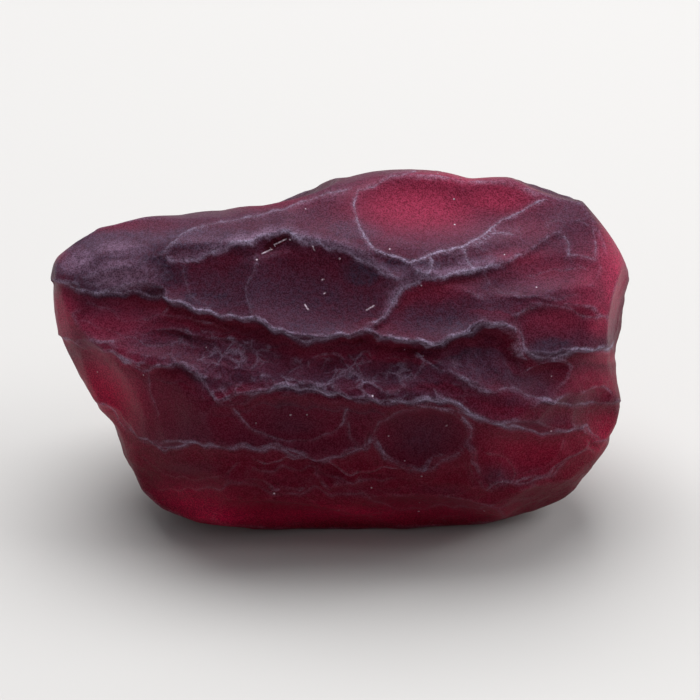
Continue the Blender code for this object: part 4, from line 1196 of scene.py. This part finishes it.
def add_ramp(value, low, high, to_low=0.0, to_high=1.0):
    """The value stretched from one range to another, with soft ends."""
    inputs = {"From Min": low, "From Max": high, "To Min": to_low, "To Max": to_high}
    settings = {"interpolation_type": "SMOOTHSTEP"}
    return add_node("ShaderNodeMapRange", settings, {"Value": value, **inputs}).outputs["Result"]


def add_tint(share, below, above):
    """One colour laid over another by a share."""
    inputs = {"Factor": share, 6: below, 7: above}
    return add_node("ShaderNodeMix", {"data_type": "RGBA"}, inputs).outputs[2]


def add_noise(size, detail=1.0, roughness=0.55):
    """Soft noise whose patches are about the given size in metres."""
    inputs = {"Vector": place, "Scale": 1.0 / size, "Detail": detail, "Roughness": roughness}
    return add_node("ShaderNodeTexNoise", None, inputs).outputs["Fac"]


def add_mark(name):
    """A number that the mesh holds for every point."""
    return add_node("ShaderNodeAttribute", {"attribute_name": name}).outputs["Fac"]


place = add_node("ShaderNodeTexCoord").outputs["Object"]
cloud = add_noise(CLOUD_SIZE)
patch = add_noise(PATCH_SIZE, 2.0, 0.6)
grain = add_noise(GRAIN_SIZE, 2.0, 0.7)
fine = add_noise(FINE_SIZE, 1.0, 0.6)
height, upward, crest, lip, shaded, clear, frosted, brow, scaly = (
    add_mark(name)
    for name in ("height", "upward", "crest", "lip", "shade", "clear", "frosted", "brow", "scaly")
)
crest_away, crest_plain = add_mark("crest_away"), add_mark("crest_plain")

# Pale lines where the frost is worn along brims and crests, broken by patches and grain.
stray = product(joined("SUBTRACT", patch, 0.5), LINE_STRAY)
stray = joined("ABSOLUTE", joined("ADD", stray, crest_away, LINE_RISE), 0.0)
fine_crest = product(
    greatest(add_ramp(stray, 0.11, 0.03), add_ramp(stray, 0.40, 0.0, 0.0, 0.35)),
    add_ramp(crest_plain, 0.0, 1.0),
    add_ramp(grain, 0.35, 0.62, 0.55, 1.0),
    add_ramp(patch, 0.35, 0.6, 0.3, 1.0),
    add_ramp(height, 0.12, 0.5, 0.3, 1.0),
)

# A fine bent net of frost between the scales.
bend = {"Vector": place, "Scale": NET_BEND_CELLS, "Detail": 0.0}
bend = {0: add_node("ShaderNodeTexNoise", None, bend).outputs["Color"], 1: NET_BEND, 2: place}
bend = add_node("ShaderNodeVectorMath", {"operation": "MULTIPLY_ADD"}, bend).outputs[0]
net = {"Vector": bend, "Scale": NET_CELLS}
net = add_node("ShaderNodeTexVoronoi", {"feature": "DISTANCE_TO_EDGE"}, net).outputs["Distance"]
net_line = product(
    add_ramp(net, 0.14, 0.0),
    add_ramp(scaly, 0.0, 0.8, 0.03, 1.0),
    add_ramp(patch, 0.42, 0.62, 0.0, 0.3),
)

# The clean glass: aubergine clouds in wine, redder low down, with painted glow in clear windows.
body = add_tint(add_ramp(cloud, 0.35, 0.65), AUBERGINE, WINE)
body = add_tint(add_ramp(height, 0.58, 0.25), body, DEEP_RED)
# Painted glow: the clear windows take bright wine and red, as if light shone through the glass.
body = add_tint(clear, body, add_tint(add_ramp(height, 0.62, 0.42), PAINTED_GLOW_WINE, PAINTED_GLOW_RED))
# Painted shade: skin that faces up towards the lamp is darkened towards aubergine.
body = add_tint(add_ramp(upward, 0.6, 1.0, 0.0, 0.15), body, AUBERGINE)
# Painted shade: skin under the brims is darkened and reddened, and its frost thinned further down.
body = add_tint(add_ramp(shaded, 0.0, 1.0, 0.0, 0.7), body, SHADOW)

# Frost, partly painted light, where the skin faces up, on lips and over the top brims, less in
# painted shade, on the tops and in clear windows.
frost_and_painted_light = product(
    greatest(
        product(
            greatest(
                product(add_ramp(upward, 0.2, 0.9), add_ramp(upward, 0.6, 0.95, 1.0, 0.6)),
                add_ramp(lip, 0.0, 1.0, 0.0, 0.55),
            ),
            add_ramp(height, 0.15, 0.65, 0.3, 1.0),
        ),
        add_ramp(frosted, 0.0, 0.5),
        brow,
    ),
    add_ramp(shaded, 0.0, 1.0, 1.0, 0.1),
    add_ramp(clear, 0.0, 0.8, 1.0, 0.15),
    add_ramp(patch, 0.2, 0.7, 0.75, 1.0),
    add_ramp(grain, 0.35, 0.65, 0.7, 1.05),
)
body = add_tint(frost_and_painted_light, body, FROST)
# Heavy pale frost on lips, spots, brows and tops, partly a painted highlight.
heavy_frost_and_highlight = greatest(
    add_ramp(lip, 0.5, 1.0, 0.0, 0.15),
    add_ramp(frosted, 0.5, 1.0),
    add_ramp(brow, 0.0, 1.0, 0.0, 0.8),
    add_ramp(upward, 0.8, 1.0, 0.0, 0.3),
)
body = add_tint(product(heavy_frost_and_highlight, frost_and_painted_light), body, HEAVY_FROST_HIGHLIGHT)
dusting = product(add_ramp(fine, 0.5, 0.66, 0.0, 0.3), add_ramp(height, 0.1, 0.6, 0.4, 1.0))
body = add_tint(dusting, body, FROST)

# Wear along ridges, then the lines, the nick, the scratches and the specks of dust.
worn = product(
    add_ramp(crest, 0.06, 0.30),
    add_ramp(grain, 0.38, 0.6, 0.5, 1.0),
    add_ramp(patch, 0.35, 0.62, 0.15, 0.5),
    add_ramp(height, 0.2, 0.7, 0.4, 1.0),
)
body = add_tint(worn, body, PALE_FROST)
body = add_tint(greatest(fine_crest, net_line), body, PALE_FROST)
body = add_tint(add_ramp(add_mark("nick"), 0.0, 0.3, 0.0, 0.9), body, FRESH_GLASS)
scratch = product(
    add_ramp(joined("ABSOLUTE", add_mark("scratch_across"), 0.0), 0.06, 0.02),
    add_ramp(add_mark("scratch_within"), 0.0, 0.12),
    add_ramp(grain, 0.3, 0.5, 0.6, 1.0),
)
body = add_tint(scratch, body, DUST)
cells = {"Vector": place, "Scale": SPECK_CELLS}
cells = add_node("ShaderNodeTexVoronoi", {"feature": "F1"}, cells)
pick = add_node("ShaderNodeSeparateColor", None, {"Color": cells.outputs["Color"]}).outputs[0]
speck = add_ramp(cells.outputs["Distance"], 0.08, 0.045)
body = add_tint(product(speck, add_ramp(pick, SPECKLESS, SPECKLESS + 0.01)), body, DUST)
speckle = product(add_ramp(fine, 0.34, 0.66, 0.56, 1.55), add_ramp(grain, 0.3, 0.7, 0.88, 1.14))
darkening = {"data_type": "RGBA", "blend_type": "MULTIPLY"}
body = add_node("ShaderNodeMix", darkening, {"Factor": 1.0, 6: body, 7: speckle}).outputs[2]

# The matt etched relief: grain, speckle and the shallow cups inside the net.
relief = joined(
    "ADD",
    product(grain, 0.7),
    product(fine, 0.3),
    product(add_ramp(net, 0.3, 0.0), add_ramp(scaly, 0.0, 0.8, 0.1, 0.8)),
)
relief = {"Height": relief, "Strength": BUMP_STRENGTH, "Distance": BUMP_DEPTH}
absorb = {"Color": GLASS_TINT, "Density": GLASS_DENSITY}

shader = glass_nodes["Principled BSDF"]
shader.inputs["IOR"].default_value = GLASS_IOR
shader.inputs["Transmission Weight"].default_value = GLASS_CLARITY
shader.inputs["Specular IOR Level"].default_value = GLASS_SHEEN_LEVEL
shader.inputs["Specular Tint"].default_value = GLASS_SHEEN_TINT
glass_links.new(body, shader.inputs["Base Color"])
glass_links.new(add_ramp(grain, 0.25, 0.75, 0.42, 0.62), shader.inputs["Roughness"])
relief = add_node("ShaderNodeBump", None, relief).outputs["Normal"]
glass_links.new(relief, shader.inputs["Normal"])
absorb = add_node("ShaderNodeVolumeAbsorption", None, absorb).outputs["Volume"]
glass_links.new(absorb, glass_nodes["Material Output"].inputs["Volume"])

stone_mesh.materials.append(glass)
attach(stone, "root")
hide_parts("saffordite")


# ---- The table and the light --------------------------------------------------------------------
# The pebble lies on a pale matt sheet under one broad soft lamp a little behind it, with a
# smaller, weaker one to its right and faint light from the room all round.
FLOOR_SIZE = 1.6
FLOOR_DROP = 0.00002
FLOOR_COLOUR = (0.56, 0.55, 0.54, 1.0)
FLOOR_ROUGHNESS = 0.9
# Lamps: place, size and power.
LAMPS = {
    "soft lamp": ((-0.04, 0.16, 0.43), 0.40, 2.9),
    "soft fill": ((0.32, 0.02, 0.22), 0.25, 0.8),
}
ROOM_COLOUR = (0.86, 0.88, 0.92, 1.0)
ROOM_STRENGTH = 0.26

floor_mesh = bpy.data.meshes.new("sheet")
floor_corners = np.array([(-1, -1, 0), (1, -1, 0), (1, 1, 0), (-1, 1, 0)]) * FLOOR_SIZE / 2.0
floor_mesh.from_pydata((floor_corners - (0.0, 0.0, FLOOR_DROP)).tolist(), [], [(0, 1, 2, 3)])
paper = bpy.data.materials.new("pale matt sheet")
paper.use_nodes = True
paper_shader = paper.node_tree.nodes["Principled BSDF"]
paper_shader.inputs["Base Color"].default_value = FLOOR_COLOUR
paper_shader.inputs["Roughness"].default_value = FLOOR_ROUGHNESS
floor_mesh.materials.append(paper)
floor = add_object("pale_sheet", floor_mesh)

for name, (lamp_place, size, power) in LAMPS.items():
    lamp_data = bpy.data.lights.new(name, "AREA")
    lamp_data.size = size
    lamp_data.energy = power
    lamp = add_object(name, lamp_data)
    lamp.location = lamp_place
    lamp.rotation_euler = Vector(lamp_place).to_track_quat("Z", "Y").to_euler()

room = bpy.data.worlds.new("room")
room.use_nodes = True
room.node_tree.nodes["Background"].inputs["Color"].default_value = ROOM_COLOUR
room.node_tree.nodes["Background"].inputs["Strength"].default_value = ROOM_STRENGTH
bpy.context.scene.world = room
bpy.context.scene.view_settings.view_transform = "Standard"


# ---- The view -----------------------------------------------------------------------------------
# A long lens looks square at the scalloped face from about a quarter of a metre away, and takes in
# a little more than the stone's length.
LENS = 200.0
FILM_WIDTH = 36.0
PICTURE_WIDTH = 0.04375
AIM_RIGHT = 0.00063
AIM_UP = 0.00013

out_of_face = Vector(from_face(np.array([0.0, 0.0, 1.0])))
up_face = Vector(from_face(np.array([0.0, 1.0, 0.0])))
view_data = bpy.data.cameras.new("view")
view_data.lens = LENS
view_data.sensor_width = FILM_WIDTH
view = add_object("view", view_data)
aim = Vector(shift) + Vector((AIM_RIGHT, 0.0, 0.0)) + up_face * AIM_UP
view.location = aim + out_of_face * (PICTURE_WIDTH * LENS / FILM_WIDTH)
view.rotation_euler = out_of_face.to_track_quat("Z", "Y").to_euler()
bpy.context.scene.camera = view
